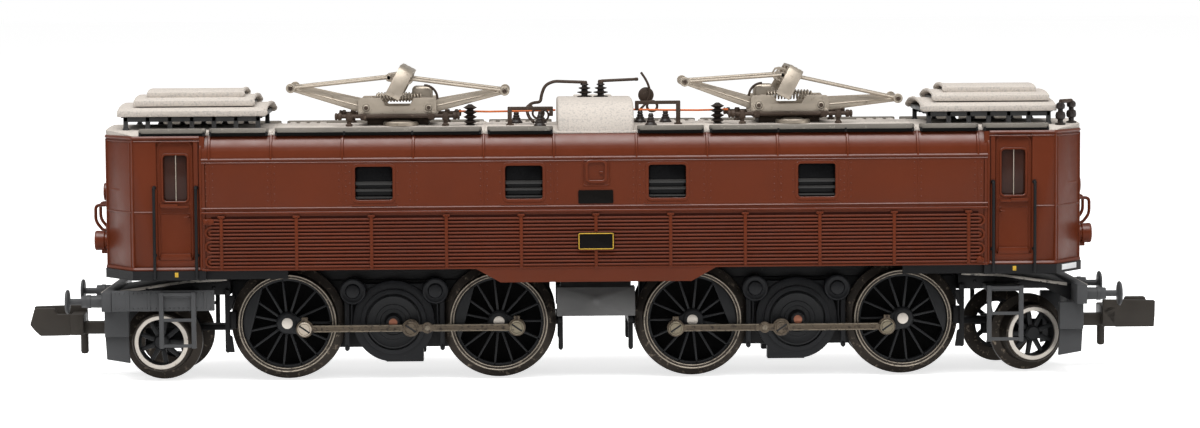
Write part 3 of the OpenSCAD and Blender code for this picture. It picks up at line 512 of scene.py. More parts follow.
# ---- finishes and stage ------------------------------------------------------
class LocoFinishes(bpy.types.Operator):
    """Makes the procedural finishes"""
    bl_idname = "loco.finishes"
    bl_label = "Finishes"

    def execute(self, context):
        c = context.scene.loco_colours
        finish("brown", c.brown, 0.36, gloss=0.12, top_gloss=0.6, mottle=0.06, grain=0.010,
               grain_size=0.2, speck=((0.33, 0.15, 0.10), 0.35, 0.74))
        finish("pipe_brown", c.brown, 0.42, gloss=0.10, mottle=0.1,
               speck=((0.33, 0.15, 0.10), 0.35, 0.72))
        # painted shade: a very dark brown for sheets and strips on the body that stand in for
        # shadow
        finish("painted_shade_brown", (0.032, 0.008, 0.005), 0.7, gloss=0.05)
        finish("roof_grey", c.roof, 0.75, gloss=0.2, mottle=0.05, grain=0.05,
               grain_size=0.2, speck=((0.40, 0.37, 0.34), 0.18, 0.50))
        finish("strip_grey", c.strip, 0.6, gloss=0.2, mottle=0.2,
               speck=((0.30, 0.275, 0.24), 0.45, 0.60))
        finish("black", c.black, 0.45, gloss=0.12, mottle=0.2,
               speck=((0.07, 0.06, 0.05), 0.5, 0.68))
        finish("slate", c.slate, 0.42, gloss=0.15, mottle=0.15,
               speck=((0.12, 0.115, 0.11), 0.4, 0.68))
        # painted light: a paler copy of the slate grey for the centre box, making up for the
        # body's shadow over it
        finish("centre", (0.105, 0.104, 0.103), 0.42, gloss=0.15, mottle=0.15,
               speck=((0.20, 0.19, 0.18), 0.4, 0.68))
        finish("hook", (0.036, 0.031, 0.026), 0.45, gloss=0.15, mottle=0.2)
        finish("cover", (0.012, 0.0125, 0.014), 0.42, gloss=0.15, mottle=0.25,
               speck=((0.05, 0.045, 0.04), 0.4, 0.66))
        # painted shade: near-black for the gaps under the roof strips and behind the wheels'
        # spokes
        finish("inside", (0.005, 0.005, 0.005), 0.8, gloss=0.03)
        finish("pane", (0.004, 0.004, 0.0045), 0.25, gloss=0.08, grain=0.004, mottle=0.3)
        finish("slat", (0.022, 0.021, 0.020), 0.35, gloss=0.25, mottle=0.2)
        finish("cab_pane", (0.034, 0.014, 0.010), 0.2, gloss=0.12, grain=0.004, mottle=0.3)
        finish("lens", (0.55, 0.53, 0.48), 0.12, grain=0.003, coat=0.6)
        finish("plate", (0.004, 0.0035, 0.003), 0.45, gloss=0.06)
        finish("yellow", (0.50, 0.31, 0.035), 0.45, gloss=0.2)
        finish("white", (0.75, 0.76, 0.76), 0.5, gloss=0.2)
        finish("casting", (0.10, 0.10, 0.10), 0.5, metal=0.5)
        finish("insulator", (0.018, 0.013, 0.011), 0.35, gloss=0.3, mottle=0.2,
               speck=((0.12, 0.09, 0.075), 0.3, 0.62))
        finish("conductor", (0.056, 0.038, 0.028), 0.5, gloss=0.2, mottle=0.2,
               speck=((0.17, 0.13, 0.10), 0.35, 0.60))
        finish("red", c.red, 0.45, gloss=0.2)
        finish("copper", (0.30, 0.11, 0.06), 0.4, metal=0.4, mottle=0.2)
        finish("nickel", c.nickel, 0.40, metal=0.6, mottle=0.14, grain=0.01,
               grain_size=0.08, speck=((0.20, 0.16, 0.12), 0.9, 0.60))
        finish("rim", (0.25, 0.215, 0.17), 0.38, metal=0.5, mottle=0.2,
               speck=((0.08, 0.065, 0.05), 0.5, 0.55))
        finish("brass", (0.17, 0.145, 0.10), 0.38, metal=0.5, mottle=0.15,
               speck=((0.06, 0.05, 0.04), 0.3, 0.56))
        finish("bright", (0.50, 0.46, 0.41), 0.35, metal=0.7, mottle=0.10,
               speck=((0.30, 0.25, 0.20), 0.3, 0.62))
        finish("worn_tyre", (0.027, 0.022, 0.018), 0.36, metal=0.5, gloss=0.15, mottle=0.3,
               speck=((0.16, 0.13, 0.10), 0.45, 0.58))
        finish("spoke", (0.013, 0.0135, 0.0145), 0.40, gloss=0.16, mottle=0.2,
               speck=((0.04, 0.037, 0.033), 0.4, 0.68))
        finish("rod", c.rod, 0.45, metal=0.3, gloss=0.25, mottle=0.2,
               speck=((0.03, 0.022, 0.016), 0.35, 0.52))
        finish("rod_edge", (0.17, 0.14, 0.10), 0.45, metal=0.3, mottle=0.2,
               speck=((0.05, 0.04, 0.03), 0.4, 0.52))
        finish("pale_edge", (0.38, 0.35, 0.31), 0.5, metal=0.2, mottle=0.2,
               speck=((0.05, 0.05, 0.05), 0.5, 0.54))
        return {"FINISHED"}


class LocoStage(bpy.types.Operator):
    """Adds the pale floor, the soft studio light and the camera"""
    bl_idname = "loco.stage"
    bl_label = "Stage"

    # name, place, target, width and depth in metres, power in watts
    LAMPS = (("top_light", (-0.05, -0.19, 0.50), (0, 0, 0.02), (0.7, 0.34), 4.4),
             ("front_light", (-0.22, -0.62, 0.22), (0, 0, 0.015), (0.5, 0.3), 0.2),
             ("right_light", (0.55, -0.25, 0.18), (0.02, 0, 0.015), (0.25, 0.25), 0.5))
    FLOOR_SIZE = 6                      # metres
    FLOOR_Z = -0.00005
    PAPER_LIFT = 0.73                   # brings lit paper up to white
    WORLD_LIGHT = 0.32                  # the surround's light on the object
    CAMERA_PLACE = (-6.573, -310.996, 38.491)       # millimetres
    CAMERA_WAY = (0.02303, 0.99704, -0.07336)
    CAMERA_ROLL = 0.346                 # degrees
    CAMERA_LENS = 94.40                 # on a sensor 36 mm wide

    def execute(self, context):
        scene = context.scene
        scene.view_settings.view_transform = "Standard"
        deselect()
        bpy.ops.mesh.primitive_plane_add(size=self.FLOOR_SIZE, location=(0, 0, self.FLOOR_Z))
        floor = context.object
        floor.name = "studio_floor"
        floor.data.materials.append(self.paper())
        for lamp in self.LAMPS:
            self.lamp(*lamp)
        self.world(scene)
        self.camera(scene)
        return {"FINISHED"}

    def paper(self):
        """White paper: it shows the shadow, and is lifted to white for the camera."""
        material = bpy.data.materials.new("studio_paper")
        material.use_nodes = True
        tree = material.node_tree
        lift = node(tree, "Math", {0: seen_by(tree, "Is Glossy Ray"), 1: self.PAPER_LIFT},
                    operation="MULTIPLY").outputs[0]
        fed(tree, tree.nodes["Principled BSDF"], {
            "Base Color": (0.8, 0.8, 0.8, 1), "Roughness": 0.9, "Specular IOR Level": 0.1,
            "Emission Color": (1, 1, 1, 1), "Emission Strength": lift})
        return material

    @staticmethod
    def lamp(name, place, target, size, power):
        """A soft rectangular lamp at a place, aimed at a target."""
        bpy.ops.object.light_add(type="AREA", location=place)
        lamp = bpy.context.object
        lamp.name = name
        lamp.data.shape = "RECTANGLE"
        lamp.data.size, lamp.data.size_y = size
        lamp.data.energy = power
        way = Vector(target) - Vector(place)
        lamp.rotation_euler = way.to_track_quat("-Z", "Y").to_euler()

    def world(self, scene):
        """A plain surround, white to the camera and through glass."""
        scene.world = bpy.data.worlds.new("studio")
        scene.world.use_nodes = True
        tree = scene.world.node_tree
        power = spread(tree, seen_by(tree, "Is Transmission Ray"), self.WORLD_LIGHT, 1, 0, 1)
        fed(tree, tree.nodes["Background"], {"Color": (1, 1, 1, 1), "Strength": power})

    def camera(self, scene):
        """The camera looks slightly down on the near side."""
        look = Vector(self.CAMERA_WAY).normalized()
        right = look.cross(Vector(UP)).normalized()
        up = right.cross(look)
        roll = math.radians(self.CAMERA_ROLL)
        right, up = (right * math.cos(roll) - up * math.sin(roll),
                     right * math.sin(roll) + up * math.cos(roll))
        bpy.ops.object.camera_add()
        camera = bpy.context.object
        camera.name = "camera"
        place = Matrix((right, up, -look)).transposed().to_4x4()
        place.translation = Vector(self.CAMERA_PLACE) * MM
        camera.matrix_world = place
        camera.data.sensor_width = 36
        camera.data.lens = self.CAMERA_LENS
        camera.data.clip_start = 0.005
        camera.data.clip_end = 20
        scene.camera = camera


class LocoPlainNodes(bpy.types.Operator):
    """Gives the pieces that keep their basic shape their finishes"""
    bl_idname = "loco.plain_nodes"
    bl_label = "Plain pieces"

    KEPT = {"underframe": "black", "chassis_block": "casting"}

    def execute(self, context):
        for name, kept_finish in self.KEPT.items():
            for slot in NODES[name].material_slots:
                slot.material = FINISHES[kept_finish]
        return {"FINISHED"}


# ---- body --------------------------------------------------------------------
SEAMS = (-37.06, -31.14, -24.3, -17.49, -10.74, -4.0, 3.94, 10.75, 17.53, 24.28, 31.06, 36.88)
WINDOW_X = (-21.3, -6.9, 6.9, 21.3)
WINDOW = (3.6, 3.2, 17.8)               # width, height, sill
DOOR_X = 40.35
DOOR_WINDOW = (2.3, 4.4, 17.8)
FRONT_WINDOW = (2.3, 2.9, 19.5)
FRONT_WINDOW_Y = (-3.4, 0, 3.4)
DOOR_FACE = CAB_Y - 0.25                # face of the recessed doors


def rounded_rectangle(x, z, width, height, radius, steps=4):
    """The outline of a rectangle that stands on z, with rounded corners."""
    points = []
    reach, low, high = width / 2 - radius, z + radius, z + height - radius
    corners = ((x + reach, high), (x - reach, high), (x - reach, low), (x + reach, low))
    for quarter, (cx, cz) in enumerate(corners):
        for i in range(steps + 1):
            angle = math.radians(90 * (quarter + i / steps))
            points.append((cx + radius * math.cos(angle), cz + radius * math.sin(angle)))
    return points


def surround(x, z, width, height, band, thick, radius=0.3, across="Y", face=0.0):
    """A flat frame round an opening, standing out from a face across Y or X."""
    obj = flat(rounded_rectangle(x, z - band, width + 2 * band, height + 2 * band,
                                 radius + band), face, across)
    bpy.ops.mesh.inset(thickness=band * MM)
    bpy.ops.mesh.delete(type="FACE")
    outwards()
    modify(obj, "SOLIDIFY", thickness=thick * MM, offset=0)
    edit_all()
    outwards()
    return rounded(obj, min(0.04, thick * 0.3), 1)


def plan_path(out, z, door_gap=False):
    """The near side's line round a cab at +X, from the machine room to the middle of the front."""
    start = DOOR_X + 1.95 if door_gap else ROOM_X + 0.1
    corner_way = Vector((CAB_Y - FRONT_Y, FRONT_X - CORNER_X, 0)).normalized() * out
    return [(start, -CAB_Y - out, z), (CORNER_X + out * 0.3, -CAB_Y - out, z),
            (FRONT_X + corner_way.x * 0.9, -FRONT_Y - out * 0.4, z), (FRONT_X + out, 0, z)]


def shoulder(x, degrees):
    """Points up the rounded shoulder on the near side, at these angles."""
    return [(x, -(SIDE_Y - SHOULDER_R + SHOULDER_R * math.cos(math.radians(t))),
             BEAD_Z + SHOULDER_R * math.sin(math.radians(t))) for t in degrees]


def all_cabs(parts):
    """Near-side parts of the +X cab, repeated at all four corners."""
    return twin_ends(twin_sides(parts))


class LocoBody(bpy.types.Operator):
    """Body walls with rounded edges, seams, beads and rivets"""
    bl_idname = "loco.body"
    bl_label = "Body walls"

    def execute(self, context):
        sizes = context.scene.loco_sizes
        walls = cad_copy("body_shell")
        rounded(walls, 0.05)
        parts = [walls]
        seam = sizes.seam / MM / 2
        ribs = []
        bent_round = range(0, 49, 6)
        for x in SEAMS:
            y = -SIDE_Y + seam * 0.55
            ribs.append(wire(shoulder(x, bent_round), seam * 1.5))
            ribs.append(wire([(x, y, BELT_Z + 0.1), (x, y, BEAD_Z)], seam * 0.8))
        # beads under the shoulder and along the belt
        for z, radius in ((BEAD_Z, 0.14), (BEAD_Z - 0.3, 0.07), (BELT_Z + 0.32, 0.1)):
            ribs.append(wire([(-ROOM_X + 0.1, -SIDE_Y, z), (ROOM_X - 0.1, -SIDE_Y, z)], radius))
        end = ROOM_X - 0.05
        ribs.append(slab(0, end, (-SIDE_Y - 0.26, -SIDE_Y + 0.1), (BELT_Z - 0.2, BELT_Z), 0.06))
        ribs.append(slab(0, end, (-SIDE_Y - 0.1, -SIDE_Y + 0.1), (SILL_Z - 0.02, SILL_Z + 0.2),
                         0.05))
        # the machine room's sides run up to the step beside each cab door
        profile = [(-CAB_Y + 0.2, SILL_Z), (-SIDE_Y, SILL_Z)]
        profile += [(y, z) for _, y, z in shoulder(0, range(0, 36, 5))]
        for low in (-ROOM_X, ROOM_X - 0.5):
            ribs.append(prism(profile, low, low + 0.5, "X", 0.02))
        # beaded step between the cabs and the machine room
        for x in (-ROOM_X, ROOM_X):
            y = -SIDE_Y + 0.02
            ribs.append(wire([(x, y, SILL_Z + 0.1), (x, y, BEAD_Z)], 0.14))
            ribs.append(wire(shoulder(x, bent_round), 0.14))
        parts += twin_sides(ribs)
        parts += twin_sides(self.hatch())
        parts += all_cabs(self.cab())
        parts += self.rivets(sizes.rivet / MM)
        piece("body_walls", parts, "body", "brown", "brown_plastic", "body_shell")
        # painted shade: a dark strip beside each cab, where the step from the machine room's side
        # to the cab side throws its shadow
        step_shade = bar((ROOM_X + 0.1, -CAB_Y - 0.02, SILL_Z + 0.3),
                    (ROOM_X + 0.24, -CAB_Y + 0.05, EAVE_Z - 0.35), 0)
        piece("cab_step_painted_shade", all_cabs([step_shade]), "body", "painted_shade_brown", "brown_plastic")
        return {"FINISHED"}

    @staticmethod
    def hatch():
        """The small hatch in the middle of the side."""
        return [surround(0.06, 19.55, 1.6, 1.7, 0.26, 0.4, 0.24, face=-SIDE_Y),
                surround(0.06, 19.1, 2.5, 2.5, 0.12, 0.12, 0.25, face=-SIDE_Y),
                bar((0.35, -SIDE_Y - 0.14, 20.15), (0.7, -SIDE_Y, 20.4), 0.05)]

    @staticmethod
    def cab():
        """Beads, lips and creases of a cab."""
        return [
            wire(bent(plan_path(0.0, EAVE_Z - 0.1), 0.3), 0.17),
            wire(bent(plan_path(0.0, EAVE_Z - 0.45), 0.3), 0.07),
            wire(bent(plan_path(0.0, BELT_Z, door_gap=True), 0.3), 0.08),
            wire(bent(plan_path(0.02, SILL_Z + 0.15), 0.3), 0.2),
            # creases down the slanted face, beside its side corner
            wire([(CORNER_X, -CAB_Y, SILL_Z + 0.2), (CORNER_X, -CAB_Y, EAVE_Z - 0.3)], 0.09),
            wire([(CORNER_X + 0.3, -CAB_Y + 0.41, SILL_Z + 0.2),
                  (CORNER_X + 0.3, -CAB_Y + 0.41, EAVE_Z - 0.3)], 0.08),
            wire([(FRONT_X, -FRONT_Y, SILL_Z + 0.2), (FRONT_X, -FRONT_Y, EAVE_Z - 0.3)], 0.08),
            # small ledge on the slanted face
            prism([(CORNER_X + 0.55, -CAB_Y + 0.75), (FRONT_X - 0.35, -FRONT_Y - 0.45),
                   (FRONT_X - 0.55, -FRONT_Y - 0.75)], 18.72, 18.95, "Z", 0.03),
        ]

    @staticmethod
    def rivets(radius):
        """Rivet rows beside the seams and round the windows."""
        head = rivet(radius, radius * 0.55, (0, 0, 0), NEAR)
        places = []
        for x in SEAMS:
            for z in [BELT_Z + 0.35 + 0.66 * i for i in range(8)]:
                places.append((x - 0.32, z))
                places.append((x + 0.32, z))
        for x in WINDOW_X:
            for dx in (-2.25, -0.75, 0.75, 2.25):
                places += [(x + dx, 17.2), (x + dx, 21.45)]
            for z in (18.3, 19.4, 20.5):
                places += [(x - 2.3, z), (x + 2.3, z)]
        near = copies(head, [at(x, -SIDE_Y, z) for x, z in places])
        return twin_sides([joined(near)])


def pane(x, face, opening):
    """A pane behind an opening (width, height, sill) in a near-side face."""
    width, height, sill = opening
    return slab(x, width / 2, (face + 0.5, face + 0.8), (sill, sill + height), 0.05)


class LocoOpenings(bpy.types.Operator):
    """Window frames, louvres, doors and front windows"""
    bl_idname = "loco.openings"
    bl_label = "Windows and doors"

    def execute(self, context):
        band = context.scene.loco_sizes.frame / MM
        width, height, sill = WINDOW
        frames = []
        for x in WINDOW_X:
            frames.append(surround(x, sill, width, height, band, 0.1, 0.25, face=-SIDE_Y))
            frames.append(bar((x - width / 2 - 0.4, -SIDE_Y - 0.1, sill - 0.62),
                              (x + width / 2 + 0.4, -SIDE_Y + 0.02, sill - 0.44), 0.04))
        door = self.door()
        front = []
        for y in FRONT_WINDOW_Y:
            front.append(surround(y, FRONT_WINDOW[2], FRONT_WINDOW[0], FRONT_WINDOW[1], 0.2, 0.12,
                                  0.25, "X", FRONT_X))
        front.append(bar((FRONT_X - 0.02, -4.6, 18.75), (FRONT_X + 0.14, 4.6, 18.95), 0.04))
        piece("window_frames", twin_sides(frames) + all_cabs(door) + twin_ends(front), "body",
              "brown", "brown_plastic")
        self.louvres(width, height, sill)
        return {"FINISHED"}

    @staticmethod
    def door():
        """A cab door in its recess, at +X on the near side."""
        width, height, sill = DOOR_WINDOW
        face = -DOOR_FACE
        parts = [
            surround(DOOR_X, sill, width, height, 0.2, 0.2, 0.3, face=face),
            surround(DOOR_X, 12.15, 3.1, 11.25, 0.16, 0.16, 0.5, face=face),
            surround(DOOR_X, 12.45, 2.7, 4.1, 0.1, 0.08, 0.1, face=face),
            # ledge under the window, step over the sill
            slab(DOOR_X, 1.3, (face - 0.3, face + 0.02), (17.12, 17.36), 0.06),
            bar((DOOR_X - 0.25, face - 0.36, 17.18), (DOOR_X + 1.45, face + 0.02, 17.52), 0.08),
            prism([(DOOR_X - 1.55, 12.1), (DOOR_X + 1.55, 12.1), (DOOR_X + 1.4, 12.75),
                   (DOOR_X - 1.4, 12.75)], face - 0.3, face + 0.02, "Y", 0.08),
        ]
        lock = turned((DOOR_X - 1.25, face, 16.3), NEAR,
                      [(-0.05, 0.12), (0.2, 0.12), (0.3, 0.07)], 12)
        handle = wire(bent([(DOOR_X - 1.25, face - 0.25, 16.3), (DOOR_X - 1.25, face - 0.32, 16.3),
                            (DOOR_X - 0.85, face - 0.32, 16.25)], 0.05), 0.05)
        return parts + [lock, handle]

    @staticmethod
    def louvres(width, height, sill):
        """Slats across the lower halves of the side windows, bars in the door windows."""
        slats = []
        for x in WINDOW_X:
            for z, deep in ((1.72, 0.3), (1.02, 0.22), (0.28, 0.16)):
                slats.append(slab(x, width / 2, (-SIDE_Y + 0.18, -SIDE_Y + 0.45),
                                  (sill + z - deep, sill + z + 0.04), 0.03))
        piece("window_slats", twin_sides(slats), "body", "slat", "dark_plastic")
        width, height, sill = DOOR_WINDOW
        bars = []
        for x in (-DOOR_X, DOOR_X):
            bars.append(wire([(x + 0.05, -CAB_Y + 0.42, sill),
                              (x + 0.05, -CAB_Y + 0.42, sill + height)], 0.05))
        piece("door_window_bars", twin_sides(bars), "body", "nickel", "nickel")


class LocoGlass(bpy.types.Operator):
    """Near-black panes with rounded edges"""
    bl_idname = "loco.glass"
    bl_label = "Panes"

    def execute(self, context):
        side = [pane(x, -SIDE_Y, WINDOW) for x in WINDOW_X]
        piece("side_panes", twin_sides(side), "body", "pane", "window", "glazing")
        door = [pane(x, -CAB_Y, DOOR_WINDOW) for x in (-DOOR_X, DOOR_X)]
        width, height, sill = FRONT_WINDOW
        front = [bar((FRONT_X - 0.8, y - width / 2, sill),
                     (FRONT_X - 0.5, y + width / 2, sill + height), 0.05) for y in FRONT_WINDOW_Y]
        piece("cab_panes", twin_sides(door) + twin_ends(front), "body", "cab_pane", "window")
        return {"FINISHED"}


class LocoPipes(bpy.types.Operator):
    """Cooling pipes: two serpentines on each side, with straps"""
    bl_idname = "loco.pipes"
    bl_label = "Cooling pipes"

    ROWS = 14
    LOWEST = 11.45
    LOOP_X = 36.95                      # centre of the end bends
    STRAPS = 11
    STRAP_PITCH = 7.19

    def execute(self, context):
        sizes = context.scene.loco_sizes
        radius, pitch = sizes.pipe / MM, sizes.pipe_pitch / MM
        y = -SIDE_Y - radius
        parts = []
        # rows counted from the top: each pipe runs from bend to bend
        for rows in ((1, 4, 5, 8, 9, 12, 13), (2, 3, 6, 7, 10, 11, 14)):
            path = [(-self.LOOP_X - 0.1, y, self.height(rows[0], pitch))]
            right = True
            for row, below in zip(rows, rows[1:]):
                path += self.bend(row, below, right, pitch, y)
                right = not right
            last = self.height(rows[-1], pitch)
            path.append((self.LOOP_X if right else -self.LOOP_X, y, last))
            parts.append(wire(path, radius, 8))
        top = self.height(1, pitch)
        parts += [
            # inlet box at the top left, outlet elbow at the bottom right
            bar((-37.7, -SIDE_Y - 0.32, top - 0.42), (-36.65, -SIDE_Y, top + 0.12), 0.1),
            turned((-37.4, -SIDE_Y - 0.25, top - 0.15), NEAR,
                   [(0, 0.2), (0.2, 0.2), (0.26, 0.12)], 12),
            turned((37.0, -SIDE_Y, self.LOWEST + 0.2), NEAR,
                   [(-0.1, 0.3), (0.3, 0.28), (0.4, 0.16)], 16),
            bar((36.75, -SIDE_Y - 0.28, self.LOWEST - 0.16), (37.45, -SIDE_Y, self.LOWEST + 0.34),
                0.08),
        ]
        for i in range(self.STRAPS):
            x = (i - (self.STRAPS - 1) / 2) * self.STRAP_PITCH
            parts.append(slab(x, 0.16, (-SIDE_Y - 0.3, -SIDE_Y + 0.02), (SILL_Z + 0.1, top + 0.3),
                              0.06))
            parts.append(slab(x, 0.34, (-SIDE_Y - 0.3, -SIDE_Y + 0.02), (top + 0.18, top + 0.42),
                              0.06))
            for z in (SILL_Z + 0.3, 13.6, top + 0.3):
                parts.append(rivet(0.09, 0.08, (x, -SIDE_Y - 0.29, z), NEAR))
        piece("cooling_pipe_banks", twin_sides(parts), "body", "pipe_brown", "brown_plastic",
              "cooling_pipes", angle=50)
        # painted shade: a dark sheet behind the pipes, so the gaps between them and the band under
        # the belt read as shadow
        shade = slab(0, 36.9, (-SIDE_Y - 0.03, -SIDE_Y + 0.1), (SILL_Z + 0.2, top + 0.34), 0)
        piece("pipe_shade", twin_sides([shade]), "body", "painted_shade_brown", "brown_plastic")
        return {"FINISHED"}

    def height(self, row, pitch):
        """Height of a row, counted from the top."""
        return self.LOWEST + (self.ROWS - row) * pitch

    def bend(self, row, below, right, pitch, y):
        """A half circle from a row to a lower one at one end."""
        way = 1 if right else -1
        radius = (below - row) * pitch / 2
        middle = (self.height(row, pitch) + self.height(below, pitch)) / 2
        steps = 5 if below - row == 1 else 10
        return [(way * (self.LOOP_X + radius * math.sin(math.pi * i / steps)), y,
                 middle + radius * math.cos(math.pi * i / steps)) for i in range(steps + 1)]


class LocoPlates(bpy.types.Operator):
    """Blank plates, their borders and the small painted marks"""
    bl_idname = "loco.plates"
    bl_label = "Blank plates"

    def execute(self, context):
        plates = [self.plate(0, 17.3, 3.36, 1.3, -SIDE_Y, 0.1),
                  self.plate(0, 12.88, 3.5, 1.68, -SIDE_Y - 0.3, 0.13)]
        piece("plates", twin_sides(plates), "body", "plate", "plate_black", "blank_plates")
        border = surround(0, 13.0, 3.2, 1.4, 0.09, 0.05, 0.06, face=-SIDE_Y - 0.43)
        marks = [slab(x, 0.17, (-CAB_Y - 0.24, -CAB_Y - 0.15), (10.5, 10.95), 0.02)
                 for x in (-40.3, 40.42)]
        piece("yellow_marks", twin_sides([border] + marks), "body", "yellow", "plate_black")
        # blank label on the slanted corner of the skirt
        way = Vector((CORNER_X - FRONT_X, FRONT_Y - CAB_Y, 0)).normalized()
        normal = Vector((CAB_Y - FRONT_Y, -(FRONT_X - CORNER_X), 0)).normalized()
        label = slab(0, 1.5, (-0.03, 0.03), (-0.27, 0.27), 0.02)
        place = Matrix((way, normal, Vector(UP))).transposed().to_4x4()
        centre = Vector(((CORNER_X + FRONT_X) / 2, -(CAB_Y + FRONT_Y) / 2, 10.72))
        place.translation = centre + normal * 0.22
        piece("blank_label", moved([label], place), "body", "white", "roof_plastic")
        return {"FINISHED"}

    @staticmethod
    def plate(x, z, width, height, face, thick):
        """A blank plate with rounded corners."""
        return prism(rounded_rectangle(x, z, width, height, 0.12), face - thick, face, "Y", 0.02)


class LocoHandrails(bpy.types.Operator):
    """Cab handrails and the rail loops on the fronts"""
    bl_idname = "loco.handrails"
    bl_label = "Handrails"

    def execute(self, context):
        rails = []
        for x in (DOOR_X - 2.0, DOOR_X + 2.0):
            rails.append(wire(bent([(x, -CAB_Y, 19.1), (x, -CAB_Y - 0.42, 19.1),
                                    (x, -CAB_Y - 0.42, 10.4), (x, -CAB_Y - 0.2, 10.4)], 0.25),
                              0.15, 12))
            for z in (19.1, 12.6):
                rails.append(turned((x, -CAB_Y, z), NEAR,
                                    [(-0.02, 0.22), (0.12, 0.2), (0.4, 0.13)], 12))
        piece("cab_rails", all_cabs(rails), "body", "black", "dark_plastic", "cab_handrails")
        x, y, z = FRONT_X, -1.8, SILL_Z + 3.4
        loop = [wire(bent([(x, y, z + 2.5), (x + 1.55, y, z + 2.5), (x + 1.55, y, z + 0.9),
                           (x + 0.85, y, z), (x, y, z)], 0.45), 0.16, 12)]
        for dz in (0, 2.5):
            loop.append(turned((x, y, z + dz), RIGHT, [(-0.02, 0.26), (0.12, 0.24), (0.3, 0.15)],
                               12))
        knob = turned((x, -1.2, 20.06), RIGHT, [(-0.02, 0.2), (0.25, 0.2), (0.36, 0.1)], 12)
        piece("front_rails", all_cabs(loop + [knob]), "body", "brown", "brown_plastic",
              "front_handrails")
        return {"FINISHED"}


class LocoLamps(bpy.types.Operator):
    """Headlamps with rims and lenses"""
    bl_idname = "loco.lamps"
    bl_label = "Headlamps"

    # place across, height, radius and length of each lamp
    LAMPS = ((-4.03, 13.7, 0.97, 1.2), (4.03, 13.7, 0.97, 1.2), (0, 18.2, 0.88, 0.8))

    def execute(self, context):
        cups, lenses = [], []
        for y, z, r, long in self.LAMPS:
            cups.append(turned((FRONT_X, y, z), RIGHT, [
                (-0.05, r * 0.82), (long * 0.25, r * 0.84), (long * 0.35, r * 0.96),
                (long * 0.8, r), (long, r), (long + 0.1, r * 0.93), (long + 0.1, r * 0.78),
                (long - 0.1, r * 0.74)], 32))
            lenses.append(turned((FRONT_X + long - 0.12, y, z), RIGHT, [
                (0, r * 0.73), (0.1, r * 0.7), (0.16, r * 0.5), (0.19, r * 0.2)], 24))
            cups.append(bar((FRONT_X, y - 0.15, z - r - 0.3),
                            (FRONT_X + long * 0.6, y + 0.15, z - r + 0.15), 0.05))
        piece("lamp_cups", twin_ends(cups), "body", "brown", "brown_plastic", "headlamps")
        piece("lamp_lenses", twin_ends(lenses), "body", "lens", "window")
        return {"FINISHED"}


# ---- roof --------------------------------------------------------------------
STRIPS = ((-43.8, -37.4), (-37.1, -31.4), (-30.8, -10.9), (-10.4, -4.05),
          (4.05, 10.5), (11.0, 30.8), (31.3, 37.0), (37.4, 43.8))
STRIP_Y = (7.75, 8.62)                  # inner and outer edges of the strips
BOX_X = 3.75
BOX_TOP = EAVE_Z + 3.25
STACKS = ((-39.0, 7.15), (38.4, 6.55))  # middle and half length of each resistor stack
STACK_Z = EAVE_Z + 1.8
COVER_RIM = 0.55                        # turned-down rim of a cover
FINS = 13                               # fins in one bank of a resistor grid
LINE_Y = -2.5
LINE_Z = EAVE_Z + 2.0


class LocoRoof(bpy.types.Operator):
    """Roof sheet with its joints, and the strips along its edges"""
    bl_idname = "loco.roof"
    bl_label = "Roof"

    def execute(self, context):
        sheet = rounded(cad_copy("roof"), 0.05, 1)
        joints = []
        for a, b in zip(STRIPS, STRIPS[1:]):
            x = (a[1] + b[0]) / 2
            if abs(x) > 4:
                ys = [-8.0 + 16.0 * i / 12 for i in range(13)]
                joints.append(wire([(x, y, roof_z(y)) for y in ys], 0.07))
        # walkway slats between the roof's fittings
        for x in range(-30, 31, 1):
            if 5 < abs(x) < 31 and abs(abs(x) - PANTO_X) > 7:
                joints.append(slab(x, 0.3, (4.2, 6.2), (roof_z(5.2) - 0.05, roof_z(4.2) + 0.06),
                                   0.04))
        piece("roof_sheet", [sheet] + joints, "body", "roof_grey", "roof_plastic", "roof")
        self.strips()
        return {"FINISHED"}

    @staticmethod
    def strips():
        """Edge strips on small feet, with tapered ends."""
        strips, strip_shade, feet = [], [], []
        inner = STRIP_Y[0]
        for start, end in STRIPS:
            over_cab = max(abs(start), abs(end)) > ROOM_X
            outer = CAB_Y - 0.02 if over_cab else STRIP_Y[1]
            strips.append(prism([(start, -inner), (end, -inner), (end, -outer + 0.3),
                                 (end - 0.25, -outer), (start + 0.25, -outer),
                                 (start, -outer + 0.3)], EAVE_Z + 0.27, EAVE_Z + 0.74, "Z", 0.1))
            # painted shade: a near-black bar under each strip fills the gap where its shadow falls
            # on the roof's edge
            strip_shade.append(bar((start + 0.12, -outer - 0.03, EAVE_Z - 0.02),
                             (end - 0.12, -inner - 0.3, EAVE_Z + 0.3), 0.05))
            count = max(2, round((end - start) / 5))
            for i in range(count):
                x = start + 0.15 + (end - start - 0.3) * i / (count - 1)
                feet.append(slab(x, 0.1, (-outer - 0.08, -inner), (EAVE_Z + 0.02, EAVE_Z + 0.4),
                                 0.03, 1))
        piece("roof_strips", twin_sides(strips), "body", "strip_grey", "strip_grey",
              "roof_edge_strips")
        piece("roof_strip_painted_shade", twin_sides(strip_shade), "body", "inside", "dark_plastic")
        piece("roof_strip_feet", twin_sides(feet), "body", "black", "dark_plastic")


